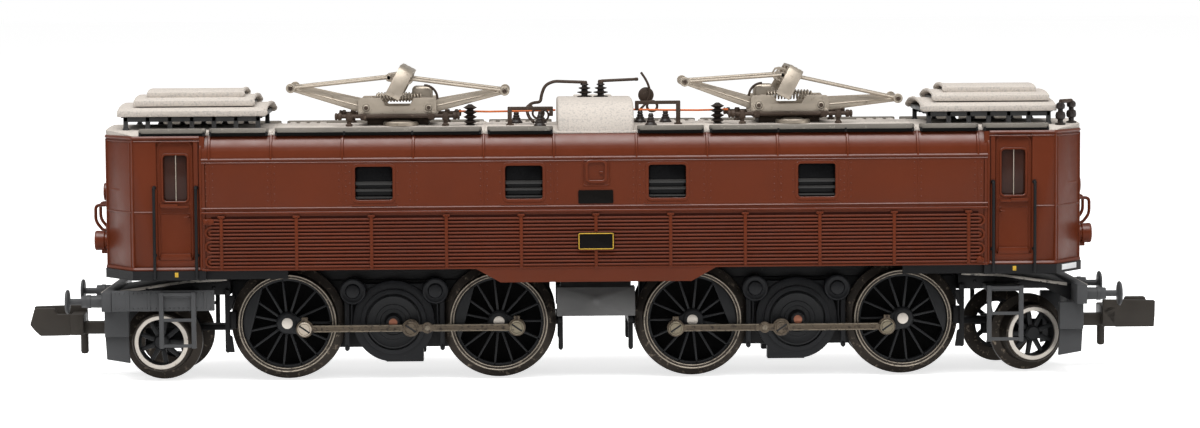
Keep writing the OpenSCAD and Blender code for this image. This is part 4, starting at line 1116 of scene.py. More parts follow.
class LocoRoofBox(bpy.types.Operator):
    """The box in the middle of the roof"""
    bl_idname = "loco.roof_box"
    bl_label = "Roof box"

    def execute(self, context):
        side, top = SIDE_Y - SHOULDER_R + 1.98, BOX_TOP
        half = [(side, EAVE_Z), (side - 0.12, EAVE_Z + 1.2), (side - 0.4, EAVE_Z + 1.95),
                (side - 0.9, EAVE_Z + 2.55), (side - 1.7, EAVE_Z + 2.95), (side - 3.5, top - 0.1),
                (2.2, top - 0.02)]
        outline = half + [(-y, z) for y, z in reversed(half)]
        parts = [rounded(prism(outline, -BOX_X + 0.15, BOX_X, "X", 0), 0.24, 3)]
        parts.append(slab(0, 1.9, (2.6, 5.2), (top - 0.12, top + 0.05), 0.06))
        piece("roof_middle_box", parts, "body", "roof_grey", "roof_plastic", "roof_box")
        return {"FINISHED"}


class LocoResistors(bpy.types.Operator):
    """Stepped resistor covers with rolled ends, over their grids"""
    bl_idname = "loco.resistors"
    bl_label = "Resistor stacks"

    # lift, half width and rise of each cover
    TIERS = ((0.0, 6.2, 0.6), (0.95, 4.9, 0.45), (1.72, 3.5, 0.28))
    # how much shorter each cover is at its inner and outer end, left stack and right stack
    INSETS = (((0, 0), (1.3, 1.45), (2.4, 2.6)), ((0, 0), (1.3, 0.5), (2.5, 1.6)))

    def execute(self, context):
        covers, grids, fins = [], [], []
        for middle, half in STACKS:
            inner = 1 if middle < 0 else -1
            insets = self.INSETS[0 if middle < 0 else 1]
            for (lift, width, rise), (near, far) in zip(self.TIERS, insets):
                ends = sorted((middle + inner * (half - near), middle - inner * (half - far)))
                covers.append(self.cover(ends, width, STACK_Z + lift, rise))
                covers += self.curl(middle + inner * (half - near), inner, width,
                                    STACK_Z + lift, rise)
                grids.append(bar((ends[0] + 0.3, -width + 0.5, STACK_Z + lift - 0.1),
                                 (ends[1] - 0.3, width - 0.5, STACK_Z + lift + 0.35), 0.05))
            grids += self.frame(middle, half)
            fins += self.fins(middle, half)
        piece("stack_covers", covers, "body", "roof_grey", "roof_plastic", "resistor_covers",
              angle=25)
        piece("stack_frames", grids, "body", "slate", "dark_plastic", "resistor_grids")
        piece("stack_grids", fins, "body", "black", "dark_plastic")
        return {"FINISHED"}

    @staticmethod
    def arch(width, base, rise):
        """Points across a cover, from its near edge to its far edge."""
        shelf = base + COVER_RIM
        half = [(width * 0.35, shelf + rise * 0.92), (width * 0.7, shelf + rise * 0.62),
                (width, shelf), (width, base)]
        return [(-y, z) for y, z in reversed(half)] + [(0, shelf + rise)] + half

    def cover(self, ends, width, base, rise):
        """One sheet cover: an arch with turned-down rims."""
        outer = self.arch(width, base, rise)
        inner = [(y * (1 - 0.25 / width), z - 0.24) for y, z in outer[1:-1]]
        inner = [(-width + 0.25, base)] + inner + [(width - 0.25, base)]
        sheet = prism(outer + inner[::-1], ends[0], ends[1], "X", 0)
        return rounded(sheet, 0.05, 2)

    def curl(self, x, way, width, base, rise):
        """The rolled edge at a cover's inner end."""
        line = self.arch(width * 0.985, base, rise)[1:-1]
        roll = wire([(x - way * 0.05, y, z - 0.08) for y, z in line], 0.2, 12)
        parts = [roll]
        for y in (-width * 0.97, width * 0.97):
            parts.append(turned((x - way * 0.08, y, base + 0.34), (0, 1 if y > 0 else -1, 0),
                                [(-0.2, 0.3), (0.1, 0.3), (0.16, 0.2)], 16))
        return parts

    @staticmethod
    def frame(middle, half):
        """The frame under the lowest cover and its posts."""
        parts = []
        for y in (-5.55, 5.55):
            parts.append(bar((middle - half + 0.55, y - 0.15, STACK_Z - 0.5),
                             (middle + half - 0.55, y + 0.15, STACK_Z + 0.02), 0.05))
            for i in range(-3, 4):
                x = middle + i * 2.13 * half / 7.15
                foot = roof_z(5.3)
                parts.append(slab(x, 0.22, (y - 0.15, y + 0.15), (foot - 0.05, STACK_Z), 0.05))
                parts.append(slab(x, 0.3, (y - 0.2, y + 0.2), (foot - 0.05, foot + 0.15), 0.05))
        return parts

    @staticmethod
    def fins(middle, half):
        """Resistor grids: rows of thin fins in two banks, and rods through them."""
        parts = []
        for bank in SIDES:
            for i in range(FINS):
                x = middle + bank * (0.5 + (half - 1.6) * (i + 0.5) / FINS)
                for y in (-2.9, 0, 2.9):
                    parts.append(slab(x, 0.09, (y - 1.1, y + 1.1), (EAVE_Z + 1.32, STACK_Z - 0.05),
                                      0.02, 1))
        for y in (-2.9, 0, 2.9):
            parts.append(bar((middle - half + 0.8, y - 0.12, EAVE_Z + 1.35),
                             (middle + half - 0.8, y + 0.12, EAVE_Z + 1.55), 0.03))
        parts.append(bar((middle - half + 0.9, -4.2, STACK_Z - 0.42),
                         (middle + half - 0.9, 4.2, STACK_Z - 0.05), 0.05))
        return parts


class LocoInsulators(bpy.types.Operator):
    """Turned roof insulators with their sheds"""
    bl_idname = "loco.insulators"
    bl_label = "Roof insulators"

    def execute(self, context):
        sheds = context.scene.loco_sizes.sheds
        parts = []
        for x in (-0.85, 0.75):
            parts.append(self.stepped((x, 0, BOX_TOP - 0.02)))
        for x in (-12.1, 12.1):
            parts.append(self.insulator((x, -3.3, roof_z(3.3) - 0.05), 2.1, 0.7, sheds, 0.3))
        for x, y in ((-7.6, -1.0), (-5.2, -1.0), (4.6, -1.0), (7.1, -1.0)):
            parts.append(self.bell((x, y, roof_z(1) - 0.03), 1.2))
        for x in (-5.3, 5.5):
            parts.append(self.bell((x, -5.0, roof_z(5) - 0.03), 1.25))
        for x, y in ((45.3, -6.3), (46.6, -4.9)):
            parts.append(self.post((x, y, roof_z(y) - 0.03), 2.2))
        piece("insulators", parts, "body", "insulator", "insulator", "roof_insulators", angle=30)
        return {"FINISHED"}

    @staticmethod
    def insulator(base, height, radius, sheds, stem):
        """A stem with thin round sheds."""
        profile = [(0, stem * 1.5), (height * 0.06, stem * 1.45)]
        step = height * 0.88 / sheds
        for i in range(sheds):
            low = height * 0.08 + step * i
            profile += [(low, stem), (low + step * 0.35, radius * 0.86),
                        (low + step * 0.5, radius), (low + step * 0.62, radius * 0.8),
                        (low + step * 0.95, stem)]
        profile += [(height * 0.97, stem * 0.9), (height, stem * 0.5)]
        return turned(base, UP, profile, 24)

    @staticmethod
    def stepped(base):
        """An insulator whose sheds grow towards its foot."""
        return turned(base, UP, [
            (0, 0.72), (0.1, 0.7), (0.16, 0.32), (0.3, 0.3), (0.42, 0.72), (0.5, 0.74),
            (0.58, 0.34), (0.72, 0.3), (0.84, 0.6), (0.92, 0.6), (1.0, 0.28), (1.12, 0.26),
            (1.2, 0.42), (1.3, 0.38), (1.34, 0.2)], 24)

    @staticmethod
    def bell(base, height):
        """A short insulator with a flared foot."""
        return turned(base, UP, [
            (0, 0.62), (height * 0.12, 0.6), (height * 0.3, 0.4), (height * 0.42, 0.42),
            (height * 0.5, 0.3), (height * 0.62, 0.34), (height * 0.7, 0.24),
            (height * 0.84, 0.28), (height, 0.18)], 20)

    @staticmethod
    def post(base, height):
        """A tall insulator with a waist and a round cap."""
        return turned(base, UP, [
            (0, 0.5), (0.16, 0.5), (0.22, 0.28), (0.5, 0.26), (0.62, 0.46), (0.9, 0.5),
            (1.2, 0.44), (1.3, 0.26), (1.5, 0.24), (1.6, 0.42), (1.85, 0.46), (2.05, 0.4),
            (height, 0.2)], 20)


class LocoConductors(bpy.types.Operator):
    """Bent roof pipes, the red roof wire and the brackets"""
    bl_idname = "loco.conductors"
    bl_label = "Roof conductors"

    def execute(self, context):
        top = BOX_TOP + 1.45
        parts = [
            wire(bent([(-0.85, 0, top - 0.25), (-0.85, 0, top - 0.02), (-3.9, 0, top + 0.1),
                       (-4.75, 0, top - 0.3), (-5.1, 0, top - 1.2), (-5.2, 0, top - 1.95),
                       (-6.1, -0.8, top - 2.0), (-6.6, -1.6, top - 2.5), (-6.4, -2.4, top - 3.3),
                       (-5.9, -3.0, top - 3.8)], 0.5), 0.16, 12),
            hoop(-5.45, -2.6, top - 2.95, 0.55, 0.5, 0.11, 8),
            hoop(-4.85, -2.9, top - 3.15, 0.4, 0.5, 0.1, 8),
            wire(bent([(0.75, 0, top - 0.25), (0.75, 0, top + 0.1), (4.4, 0, top + 0.25)], 0.25),
                 0.15, 12),
            wire(bent([(4.7, -1, top + 0.95), (5.15, -1, top + 0.3), (5.48, -1, top - 0.4),
                       (5.6, -1, top - 1.2), (5.3, -1, top - 2.0), (4.6, -1, LINE_Z),
                       (4.6, -1, LINE_Z - 0.3)], 0.5), 0.12, 12),
            wire([(45.3, -6.3, EAVE_Z + 2.72), (46.6, -4.9, EAVE_Z + 2.72)], 0.2, 12),
            turned((4.4, 0, top + 0.25), (1, 0, 0.05), [(-0.25, 0.17), (0, 0.17), (0.08, 0.1)],
                   12),
            # discs on the bent rod, caps on the box insulators
            turned((5.2, -0.5, top - 1.3), NEAR,
                   [(0, 0.72), (0.06, 0.78), (0.2, 0.78), (0.3, 0.6), (0.34, 0.25)], 24),
            hoop(5.75, -2.0, top - 2.35, 0.5, 0.5, 0.13, 10),
            turned((-6.3, -0.9, top - 2.45), NEAR,
                   [(0, 0.32), (0.15, 0.36), (0.3, 0.3), (0.36, 0.1)], 16),
            turned((-0.85, 0, top - 0.28), UP, [(0, 0.24), (0.25, 0.3), (0.4, 0.22)], 16),
            turned((0.75, 0, top - 0.28), UP, [(0, 0.24), (0.3, 0.3), (0.5, 0.22)], 16),
        ]
        piece("conductors", parts, "body", "conductor", "conductor", "roof_conductors", angle=50)
        line = [wire([(BOX_X, LINE_Y, LINE_Z + 0.05), (7.0, LINE_Y, LINE_Z - 0.02),
                      (10.2, LINE_Y, LINE_Z - 0.06), (PANTO_X - 6, LINE_Y, LINE_Z)], 0.1, 12)]
        piece("red_wire", twin_ends(line), "body", "red", "red_wire", "red_conductor", angle=60)
        piece("brackets", self.bracket(-1, 2.45) + self.bracket(1, 2.95), "body", "conductor",
              "conductor", "roof_brackets")
        return {"FINISHED"}

    @staticmethod
    def bracket(way, lift):
        """A bracket beside the middle box: a beam on one leg, with a short drop at its end."""
        y, low, high = -3.6, roof_z(3.6), EAVE_Z + lift
        beam = bar((way * 4.0, y - 0.18, high - 0.35), (way * 8.45, y + 0.18, high), 0.06)
        leg = bar((way * 8.02, y - 0.2, low - 0.02), (way * 8.45, y + 0.2, high), 0.06)
        foot = bar((way * 7.85, y - 0.32, low - 0.03), (way * 8.6, y + 0.32, low + 0.14), 0.05)
        drop = bar((way * 4.0, y - 0.18, high - 0.95), (way * 4.38, y + 0.18, high - 0.2), 0.06)
        return [beam, leg, foot, drop]


# ---- pantographs -------------------------------------------------------------
BASE_Z = EAVE_Z + 1.6
LEFT_ARMS = (15, 12)                    # outer and inner arm angles
RIGHT_ARMS = (4.5, 18)
LEFT_HEAD = ((-0.85, 2.95), (0.85, 2.85))     # outer and inner pivots, from the lower pivots
RIGHT_HEAD = ((0.9, 2.75), (-0.7, 2.95))
PANTOGRAPHS = (("left", -PANTO_X, -1, LEFT_ARMS, LEFT_HEAD, (28, 1.3)),
               ("right", PANTO_X, 1, RIGHT_ARMS, RIGHT_HEAD, (29, -0.8)))


class LocoPantographFrames(bpy.types.Operator):
    """Beams, plinths and roof fittings below the pantographs"""
    bl_idname = "loco.pantograph_frames"
    bl_label = "Pantograph frames"

    def execute(self, context):
        parts, bright = [], []
        for x in (-PANTO_X, PANTO_X):
            parts += moved(self.frame(), at(x, 0, 0))
            bright.append(turned((x + 0.3, -2.7, roof_z(2.7) - 0.05), UP, [
                (0, 1.75), (0.3, 1.72), (0.42, 1.6), (0.36, 1.2), (0.5, 0.9), (0.55, 0.4)], 40))
        piece("panto_frames", parts, "body", "conductor", "dark_plastic", "pantograph_beams")
        piece("panto_dishes", bright, "body", "nickel", "nickel")
        return {"FINISHED"}

    @staticmethod
    def frame():
        """Two beams with knobbed ends on feet, cross bars and a plinth."""
        side = [wire([(-5.7, 3.75, BASE_Z), (5.7, 3.75, BASE_Z)], 0.2, 16)]
        for way in SIDES:
            side.append(turned((way * 5.4, 3.75, BASE_Z), (way, 0, 0), [
                (0, 0.22), (0.05, 0.36), (0.3, 0.38), (0.42, 0.28), (0.5, 0.36), (0.66, 0.34),
                (0.7, 0.2)], 16))
            side.append(turned((way * 4.7, 3.75, roof_z(3.75) - 0.03), UP, [
                (0, 0.35), (0.2, 0.34), (0.3, 0.22), (0.5, 0.2), (0.62, 0.32), (0.9, 0.35),
                (1.1, 0.3), (1.35, 0.22)], 16))
            side.append(bar((way * 3.0, 3.45, BASE_Z - 0.28), (way * 3.6, 4.0, BASE_Z + 0.24),
                            0.06))
        parts = twin_sides(side)
        for x in (-3.3, 3.3):
            parts.append(slab(x, 0.28, (-3.7, 3.7), (BASE_Z - 0.38, BASE_Z - 0.02), 0.06))
        parts.append(slab(0, 3.0, (-2.4, 2.4), (EAVE_Z + 0.55, BASE_Z - 0.32), 0.1))
        parts.append(slab(0, 3.3, (-2.4, 2.4), (BASE_Z - 0.5, BASE_Z - 0.3), 0.05))
        return parts


class LocoPantographs(bpy.types.Operator):
    """Pantograph bases, arms and collectors"""
    bl_idname = "loco.pantographs"
    bl_label = "Pantographs"

    def execute(self, context):
        spring = context.scene.loco_sizes.spring / MM
        for side, x, way, arms, head, lean in PANTOGRAPHS:
            self.base(side, x, way, spring)
            knees = []
            for which, out, angle in (("outer", way, arms[0]), ("inner", -way, arms[1])):
                self.lower_arm(side, which, x, out, angle)
                a = math.radians(angle)
                knees.append((x + out * (BASE_PIVOT_X + LOWER_ARM * math.cos(a)),
                              PIVOT_Z + LOWER_ARM * math.sin(a)))
            heads = [(x + hx, PIVOT_Z + hz) for hx, hz in head]
            for which, knee, top in zip(("outer", "inner"), knees, heads):
                self.upper_arm(side, which, knee, top)
            self.collector(side, heads, lean)
        return {"FINISHED"}

    @staticmethod
    def base(side, x, way, spring):
        """Bottom plate, side plates with bores, springs, cross wires and bolts."""
        plate = [slab(0, 3.83, (-3.0, 3.0), (BASE_Z + 0.01, BASE_Z + 0.24), 0.05)]
        outline = [(-3.83, BASE_Z + 0.02), (3.83, BASE_Z + 0.02), (3.83, BASE_Z + 1.5),
                   (3.6, BASE_Z + 1.78), (1.6, BASE_Z + 1.78), (1.15, BASE_Z + 0.98),
                   (-1.15, BASE_Z + 0.98), (-1.6, BASE_Z + 1.78), (-3.6, BASE_Z + 1.78),
                   (-3.83, BASE_Z + 1.5)]
        cheek = prism(outline, 3.02, 3.38, "Y", 0.05)
        cheeks = [cheek]
        for px in (-BASE_PIVOT_X, BASE_PIVOT_X):
            bored(cheek, (px, 2.5, PIVOT_Z), 0.36, 1.5)
            ring = turned((px, 3.36, PIVOT_Z), FAR, [(0, 0.55), (0.06, 0.55), (0.08, 0.5)], 24)
            cheeks.append(bored(ring, (px, 3.0, PIVOT_Z), 0.36, 1.5))
        for bx in (-3.55, 3.55):
            cheeks.append(turned((bx, 3.36, BASE_Z + 0.32), FAR,
                                 [(0, 0.2), (0.1, 0.2), (0.14, 0.1)], 6))
            plate.append(turned((bx, 0, BASE_Z + 0.2), UP, [(0, 0.3), (0.16, 0.28), (0.2, 0.15)],
                                6))
        # a dome block beside the springs, and a wire across the plate
        bx = -way * 2.35
        dome = rounded(slab(bx, 1.02, (-0.7, 1.1), (BASE_Z + 0.2, BASE_Z + 2.85), 0), 0.42, 4)
        cross = wire([(-3.0, -2.0, BASE_Z + 0.34), (0, 1.4, BASE_Z + 0.6),
                      (3.0, 1.9, BASE_Z + 0.38)], 0.06)
        cable = wire([(bx - way * (0.2 + 1.3 * math.sin(math.radians(a))), -0.95,
                       BASE_Z + 1.62 + 1.3 * math.cos(math.radians(a)))
                      for a in range(0, 121, 10)], 0.12, 12)
        springs = [coil((-2.7, y, BASE_Z + 1.75), (2.7, y, BASE_Z + 1.75), 0.36, 15, spring, 8)
                   for y in (-1.75, 1.85)]
        parts = moved(plate + twin_sides(cheeks) + [dome, cross] + springs, at(x, 0, 0))
        piece(side + "_panto_base", parts, "body", "nickel", "nickel", side + "_pantograph_base")
        piece(side + "_panto_cable", moved([cable], at(x, 0, 0)), "body", "conductor",
              "dark_plastic")

    @staticmethod
    def lower_arm(side, which, x, way, angle):
        """Two pressed plates on a shaft, with a second shaft at the knuckle."""
        outline = [(-0.4, -0.35), (0.9, -0.58), (7.4, -0.3), (7.75, -0.2), (7.88, 0),
                   (7.75, 0.2), (7.4, 0.3), (0.9, 0.58), (-0.4, 0.35)]
        arm = prism(outline, 2.47, 2.73, "Y", 0.05)
        rib = wire([(0.9, 2.73, 0), (7.2, 2.73, 0)], 0.07, 8)
        hub = turned((0, 2.73, 0), FAR, [(0, 0.42), (0.16, 0.42), (0.2, 0.36)], 24)
        knuckle = turned((LOWER_ARM, 2.7, 0), FAR, [(0, 0.34), (0.2, 0.34), (0.22, 0.24)], 20)
        parts = twin_sides([arm, rib, hub, knuckle])
        parts.append(turned((0, -3.54, 0), FAR, [(0, 0.26), (0.03, 0.3), (7.05, 0.3),
                                                 (7.08, 0.26)], 24))
        parts.append(turned((LOWER_ARM, -3.29, 0), FAR,
                            [(0, 0.2), (0.03, 0.235), (6.55, 0.235), (6.58, 0.2)], 20))
        place = at(x + way * BASE_PIVOT_X, 0, PIVOT_Z)
        place = place @ Matrix.Rotation(-math.radians(angle) * way, 4, "Y")
        if way < 0:
            place = place @ MIRROR_X
        # painted shade: dark discs on the shafts' ends, so the rings round them read as open
        caps = twin_sides([turned((LOWER_ARM, 3.27, 0), FAR, [(0, 0.2), (0.03, 0.2)], 20),
                           turned((0, 3.53, 0), FAR, [(0, 0.2), (0.03, 0.2)], 20)])
        body = side + "_lower_arm_" + which
        piece(side + "_lower_" + which, moved(parts, place), body, "nickel", "nickel", body)
        piece(side + "_lower_" + which + "_caps", moved(caps, place), body, "conductor", "nickel")

    @staticmethod
    def upper_arm(side, which, knee, top):
        """Two wires with rings at the knuckle and a shaft at the head."""
        dx, dz = top[0] - knee[0], top[1] - knee[1]
        long = math.hypot(dx, dz)
        ux, uz = dx / long, dz / long
        ring = turned((knee[0], ARM_Y - 0.18, knee[1]), FAR, [
            (0, 0.44), (0.04, 0.475), (0.32, 0.475), (0.36, 0.44)], 28)
        bored(ring, (knee[0], ARM_Y - 1, knee[1]), 0.29, 2)
        rod = wire([(knee[0] + ux * 0.42, ARM_Y, knee[1] + uz * 0.42),
                    (top[0] - ux * 0.1, ARM_Y, top[1] - uz * 0.1)], 0.16, 12)
        ball = turned((top[0], ARM_Y - 0.18, top[1]), FAR,
                      [(0, 0.2), (0.05, 0.28), (0.25, 0.28), (0.27, 0.23)], 20)
        parts = twin_sides([ring, rod, ball])
        shaft = turned((top[0], -3.19, top[1]), FAR,
                       [(0, 0.18), (0.03, 0.215), (6.35, 0.215), (6.38, 0.18)], 20)
        body = side + "_upper_arm_" + which
        piece(side + "_upper_" + which, parts + [shaft], body, "nickel", "nickel", body)

    @staticmethod
    def collector(side, heads, lean):
        """The collector strip with its bent horns, and the plates that carry it."""
        (hx, hz), (ix, iz) = heads
        angle, shift = lean
        tilt = at(shift, 0, -0.15) @ Matrix.Rotation(math.radians(angle), 4, "Y")
        top = slab(0, 0.74, (-3.6, 3.6), (0.92, 1.19), 0.05)
        grooves = [slab(gx, 0.06, (-3.5, 3.5), (1.15, 1.23), 0.02) for gx in (-0.45, 0, 0.45)]
        horn = prism([(3.5, 0.92), (3.9, 0.55), (4.3, -0.4), (4.65, -1.5), (4.67, -1.95),
                      (4.98, -1.95), (4.96, -1.4), (4.6, -0.3), (4.2, 0.75), (3.85, 1.12),
                      (3.6, 1.19), (3.5, 1.19)], -0.74, 0.74, "X", 0.05)
        plate = prism([(-0.48, -0.48), (0.48, -0.48), (0.74, 1.0), (-0.74, 1.0)], 1.92, 2.28, "Y",
                      0.05)
        parts = moved([top] + grooves + twin_sides([horn, plate]), tilt)
        dx, dz = ix - hx, iz - hz
        long = math.hypot(dx, dz)
        link = prism([(-0.2, -0.4), (long, -0.7), (long + 0.45, -0.55), (long + 0.7, 0),
                      (long + 0.45, 0.55), (long, 0.7), (-0.2, 0.32), (-0.42, 0)], 1.53, 1.95,
                     "Y", 0.04)
        bored(link, (0, 1, 0), 0.27, 2, 20)
        bored(link, (long, 1, 0), 0.5, 2)
        parts += moved(twin_sides([link]), turn("Y", -math.degrees(math.atan2(dz, dx))))
        piece(side + "_head", moved(parts, at(hx, 0, hz)), side + "_collector", "nickel",
              "nickel", side + "_collector")


# ---- running gear ------------------------------------------------------------
# Bogie parts are drawn round the bogie's pivot, with its outer end at -X.
BOGIES = {"left": at(-BOGIE_X, 0, 0),
          "right": at(BOGIE_X, 0, 0) @ Matrix.Rotation(math.pi, 4, "Z")}
CRANKS = {"left": (-15, 75), "right": (68, -22)}    # crank angles on the -Y and +Y sides
TRUCK_X = -14.4
TRUCK_ARM = 7.9
TRUCK_Z = 3.8
DRIVER = (4.75, 5.6, 0.4)               # tread and flange radius, width of the bright rim
SMALL_WHEEL = (2.9, 3.8, 0.35)
DRIVER_BORE = 4.12                      # inside of a driven wheel's rim
BUFFER = (-28.0, 5.47, 7.85)            # middle of a buffer's foot
COUPLER_Z = 4.75                        # middle of the coupler's shank
BEAM_X = (-28.01, -27.02)               # outer and inner face of the buffer beam
HANGER_FOOT = 2.72                      # lowest point of the brake hangers
SWING = {"left": -3, "right": 13}
BLOCK_TOP = 11.3                        # just under the body's floor


def spokes(count, inner, outer, y, width, thick):
    """Tapered spokes round the origin in the XZ plane."""
    spoke = prism([(inner, -width / 2), (outer, -width * 0.36), (outer, width * 0.36),
                   (inner, width / 2)], y, y + thick, "Y", width * 0.18)
    return copies(spoke, [Matrix.Rotation(2 * math.pi * i / count, 4, "Y") for i in range(count)])


def tyre(tread, flange, rim):
    """One wheel's ring, drawn round the Y axis, with its flange inside."""
    y = WHEEL_BACK
    ring = turned((0, y, 0), FAR, [
        (0, flange - 0.18), (0.1, flange), (0.38, flange - 0.03), (0.6, tread + 0.08),
        (0.75, tread), (2.1, tread - 0.03), (2.2, tread - 0.12)], 96)
    return bored(ring, (0, y - 1, 0), tread - rim, 4, 96)


def crank_pin(angle):
    """A crank pin's place in X and Z, from its axle."""
    return CRANK * math.cos(math.radians(angle)), CRANK * math.sin(math.radians(angle))


class LocoDrivers(bpy.types.Operator):
    """Driven wheels with spokes, counterweights and crank pins"""
    bl_idname = "loco.drivers"
    bl_label = "Driven wheels"

    def execute(self, context):
        count = context.scene.loco_sizes.spokes
        for side, place in BOGIES.items():
            for which, x in (("outer", -AXLE_X), ("inner", AXLE_X)):
                self.axle(side, which, place @ at(x, 0, AXLE_Z), count)
            self.jackshaft(side, place @ at(0, 0, AXLE_Z))
        return {"FINISHED"}

    def axle(self, side, which, place, count):
        """One axle with its two wheels: tyres, rims, centres and crank pins."""
        body = side + "_" + which + "_axle"
        tyres = twin_sides([tyre(*DRIVER)])
        piece(body + "_tyres", moved(tyres, place), body, "worn_tyre", "nickel", body)
        rims = twin_sides([hoop(0, WHEEL_BACK + 2.19, 0, radius, radius, thick, 36, 8)
                           for radius, thick in ((4.7, 0.07), (4.42, 0.045))])
        # painted shade: a near-black disc behind the spokes, so the gaps between them read as
        # shadow
        backs = twin_sides([turned((0, WHEEL_BACK + 0.25, 0), FAR, [(0, 4.4), (0.15, 4.4)], 64)])
        dark, pins = [], []
        for way, angle in zip(SIDES, CRANKS[side]):
            half = spokes(count, 0.9, 4.45, WHEEL_BACK + 1.25, 0.25, 0.5)
            half.append(turned((0, WHEEL_BACK + 0.3, 0), FAR, [
                (0, 1.1), (1.6, 1.1), (1.8, 0.95), (1.86, 0.8)], 32))
            ring = turned((0, WHEEL_BACK + 0.7, 0), FAR, [(0, 4.4), (1.05, 4.4)], 64)
            half.append(bored(ring, (0, 0, 0), DRIVER_BORE, 9, 64))
            half.append(self.counterweight(angle + 180))
            half += self.crank(angle)
            pins += self.pin(angle, way)
            dark += self.slot(angle, way)
            dark += moved(half, MIRROR_Y) if way < 0 else half
        bright = twin_sides([turned((0, WHEEL_BACK + 2.1, 0), FAR,
                                    [(0, 0.55), (0.12, 0.53), (0.14, 0.42)], 24)])
        dark.append(turned((0, -WHEEL_BACK - 0.4, 0), FAR, [
            (0, 0.95), (2 * WHEEL_BACK + 0.8, 0.95)], 24))
        piece(body + "_centres", moved(dark, place), body, "spoke", "blackened_steel")
        piece(body + "_backs", moved(backs, place), body, "inside", "blackened_steel")
        piece(body + "_bright", moved(bright, place), body, "bright", "nickel")
        pin_finish = "nickel" if body == "left_outer_axle" else "brass"
        piece(body + "_pins", moved(pins, place), body, pin_finish, "nickel")
        piece(body + "_rims", moved(rims, place), body, "rim", "nickel")

    @staticmethod
    def counterweight(angle):
        """A segment between the rim and a chord, opposite the crank pin."""
        a = math.radians(angle)
        span = math.radians(42)
        arc = [(4.3 * math.cos(a + span * t / 8), 4.3 * math.sin(a + span * t / 8))
               for t in range(-8, 9)]
        return prism(arc, WHEEL_BACK + 1.1, WHEEL_BACK + 1.98, "Y", 0.05)

    @staticmethod
    def crank(angle):
        """The web from the hub to the crank pin."""
        px, pz = crank_pin(angle)
        a = math.radians(angle)
        ax, az = math.cos(a), math.sin(a)
        web = prism([(-0.95 * az, 0.95 * ax), (px - 0.7 * az, pz + 0.7 * ax),
                     (px + 0.75 * ax, pz + 0.75 * az), (px + 0.7 * az, pz - 0.7 * ax),
                     (0.95 * az, -0.95 * ax)], WHEEL_BACK + 1.0, WHEEL_BACK + 2.1, "Y", 0.05)
        boss = turned((px, WHEEL_BACK + 1.3, pz), FAR, [(0, 0.75), (0.9, 0.75), (1.02, 0.62)], 24)
        return [web, boss]

    @staticmethod
    def pin(angle, way):
        """The crank pin and its slotted washer."""
        px, pz = crank_pin(angle)
        pin = turned((px, way * 6.0, pz), (0, way, 0), [(0, 0.4), (1.0, 0.4)], 20)
        head = turned((px, way * 6.96, pz), (0, way, 0),
                      [(0, 0.68), (0.2, 0.68), (0.24, 0.62), (0.2, 0.52), (0.28, 0.5)], 28)
        return [pin, head]

    @staticmethod
    def slot(angle, way):
        """The slot across a crank pin's washer, drawn as a dark bar: painted shade in the slot."""
        px, pz = crank_pin(angle)
        to = at(px, way * 7.17, pz)
        return moved([slab(0, 0.6, (-0.09, 0.09), (-0.09, 0.09), 0.03, 1)],
                     to @ Matrix.Rotation(0.6, 4, "Y"))

    def jackshaft(self, side, place):
        """The jackshaft with a stepped disc and a crank pin on each side."""
        body = side + "_jackshaft"
        discs, pins = [], []
        for way, angle in zip(SIDES, CRANKS[side]):
            discs.append(turned((0, way * 4.9, 0), (0, way, 0), [
                (0, 2.5), (0.06, 2.6), (0.3, 2.6), (0.38, 2.48), (0.32, 2.3), (0.32, 1.75),
                (0.42, 1.7), (0.42, 1.3), (0.34, 1.25), (0.34, 0.9), (0.5, 0.85), (0.8, 0.7),
                (1.15, 0.65), (1.22, 0.5)], 48))
            px, pz = crank_pin(angle)
            discs.append(turned((px, way * 5.2, pz), (0, way, 0),
                                [(0, 0.75), (0.95, 0.75), (1.04, 0.62)], 24))
            pins += self.pin(angle, way)
            discs += self.slot(angle, way)
        discs.append(turned((0, -4.9, 0), FAR, [(0, 0.6), (9.8, 0.6)], 24))
        centres = [turned((0, way * 6.02, 0), (0, way, 0), [(0, 0.42), (0.14, 0.42), (0.18, 0.3)],
                          20) for way in SIDES]
        piece(body + "_discs", moved(discs, place), body, "spoke", "blackened_steel", body)
        piece(body + "_centres", moved(centres, place), body, "copper", "blackened_steel")
        piece(body + "_pins", moved(pins, place), body, "rod", "nickel")


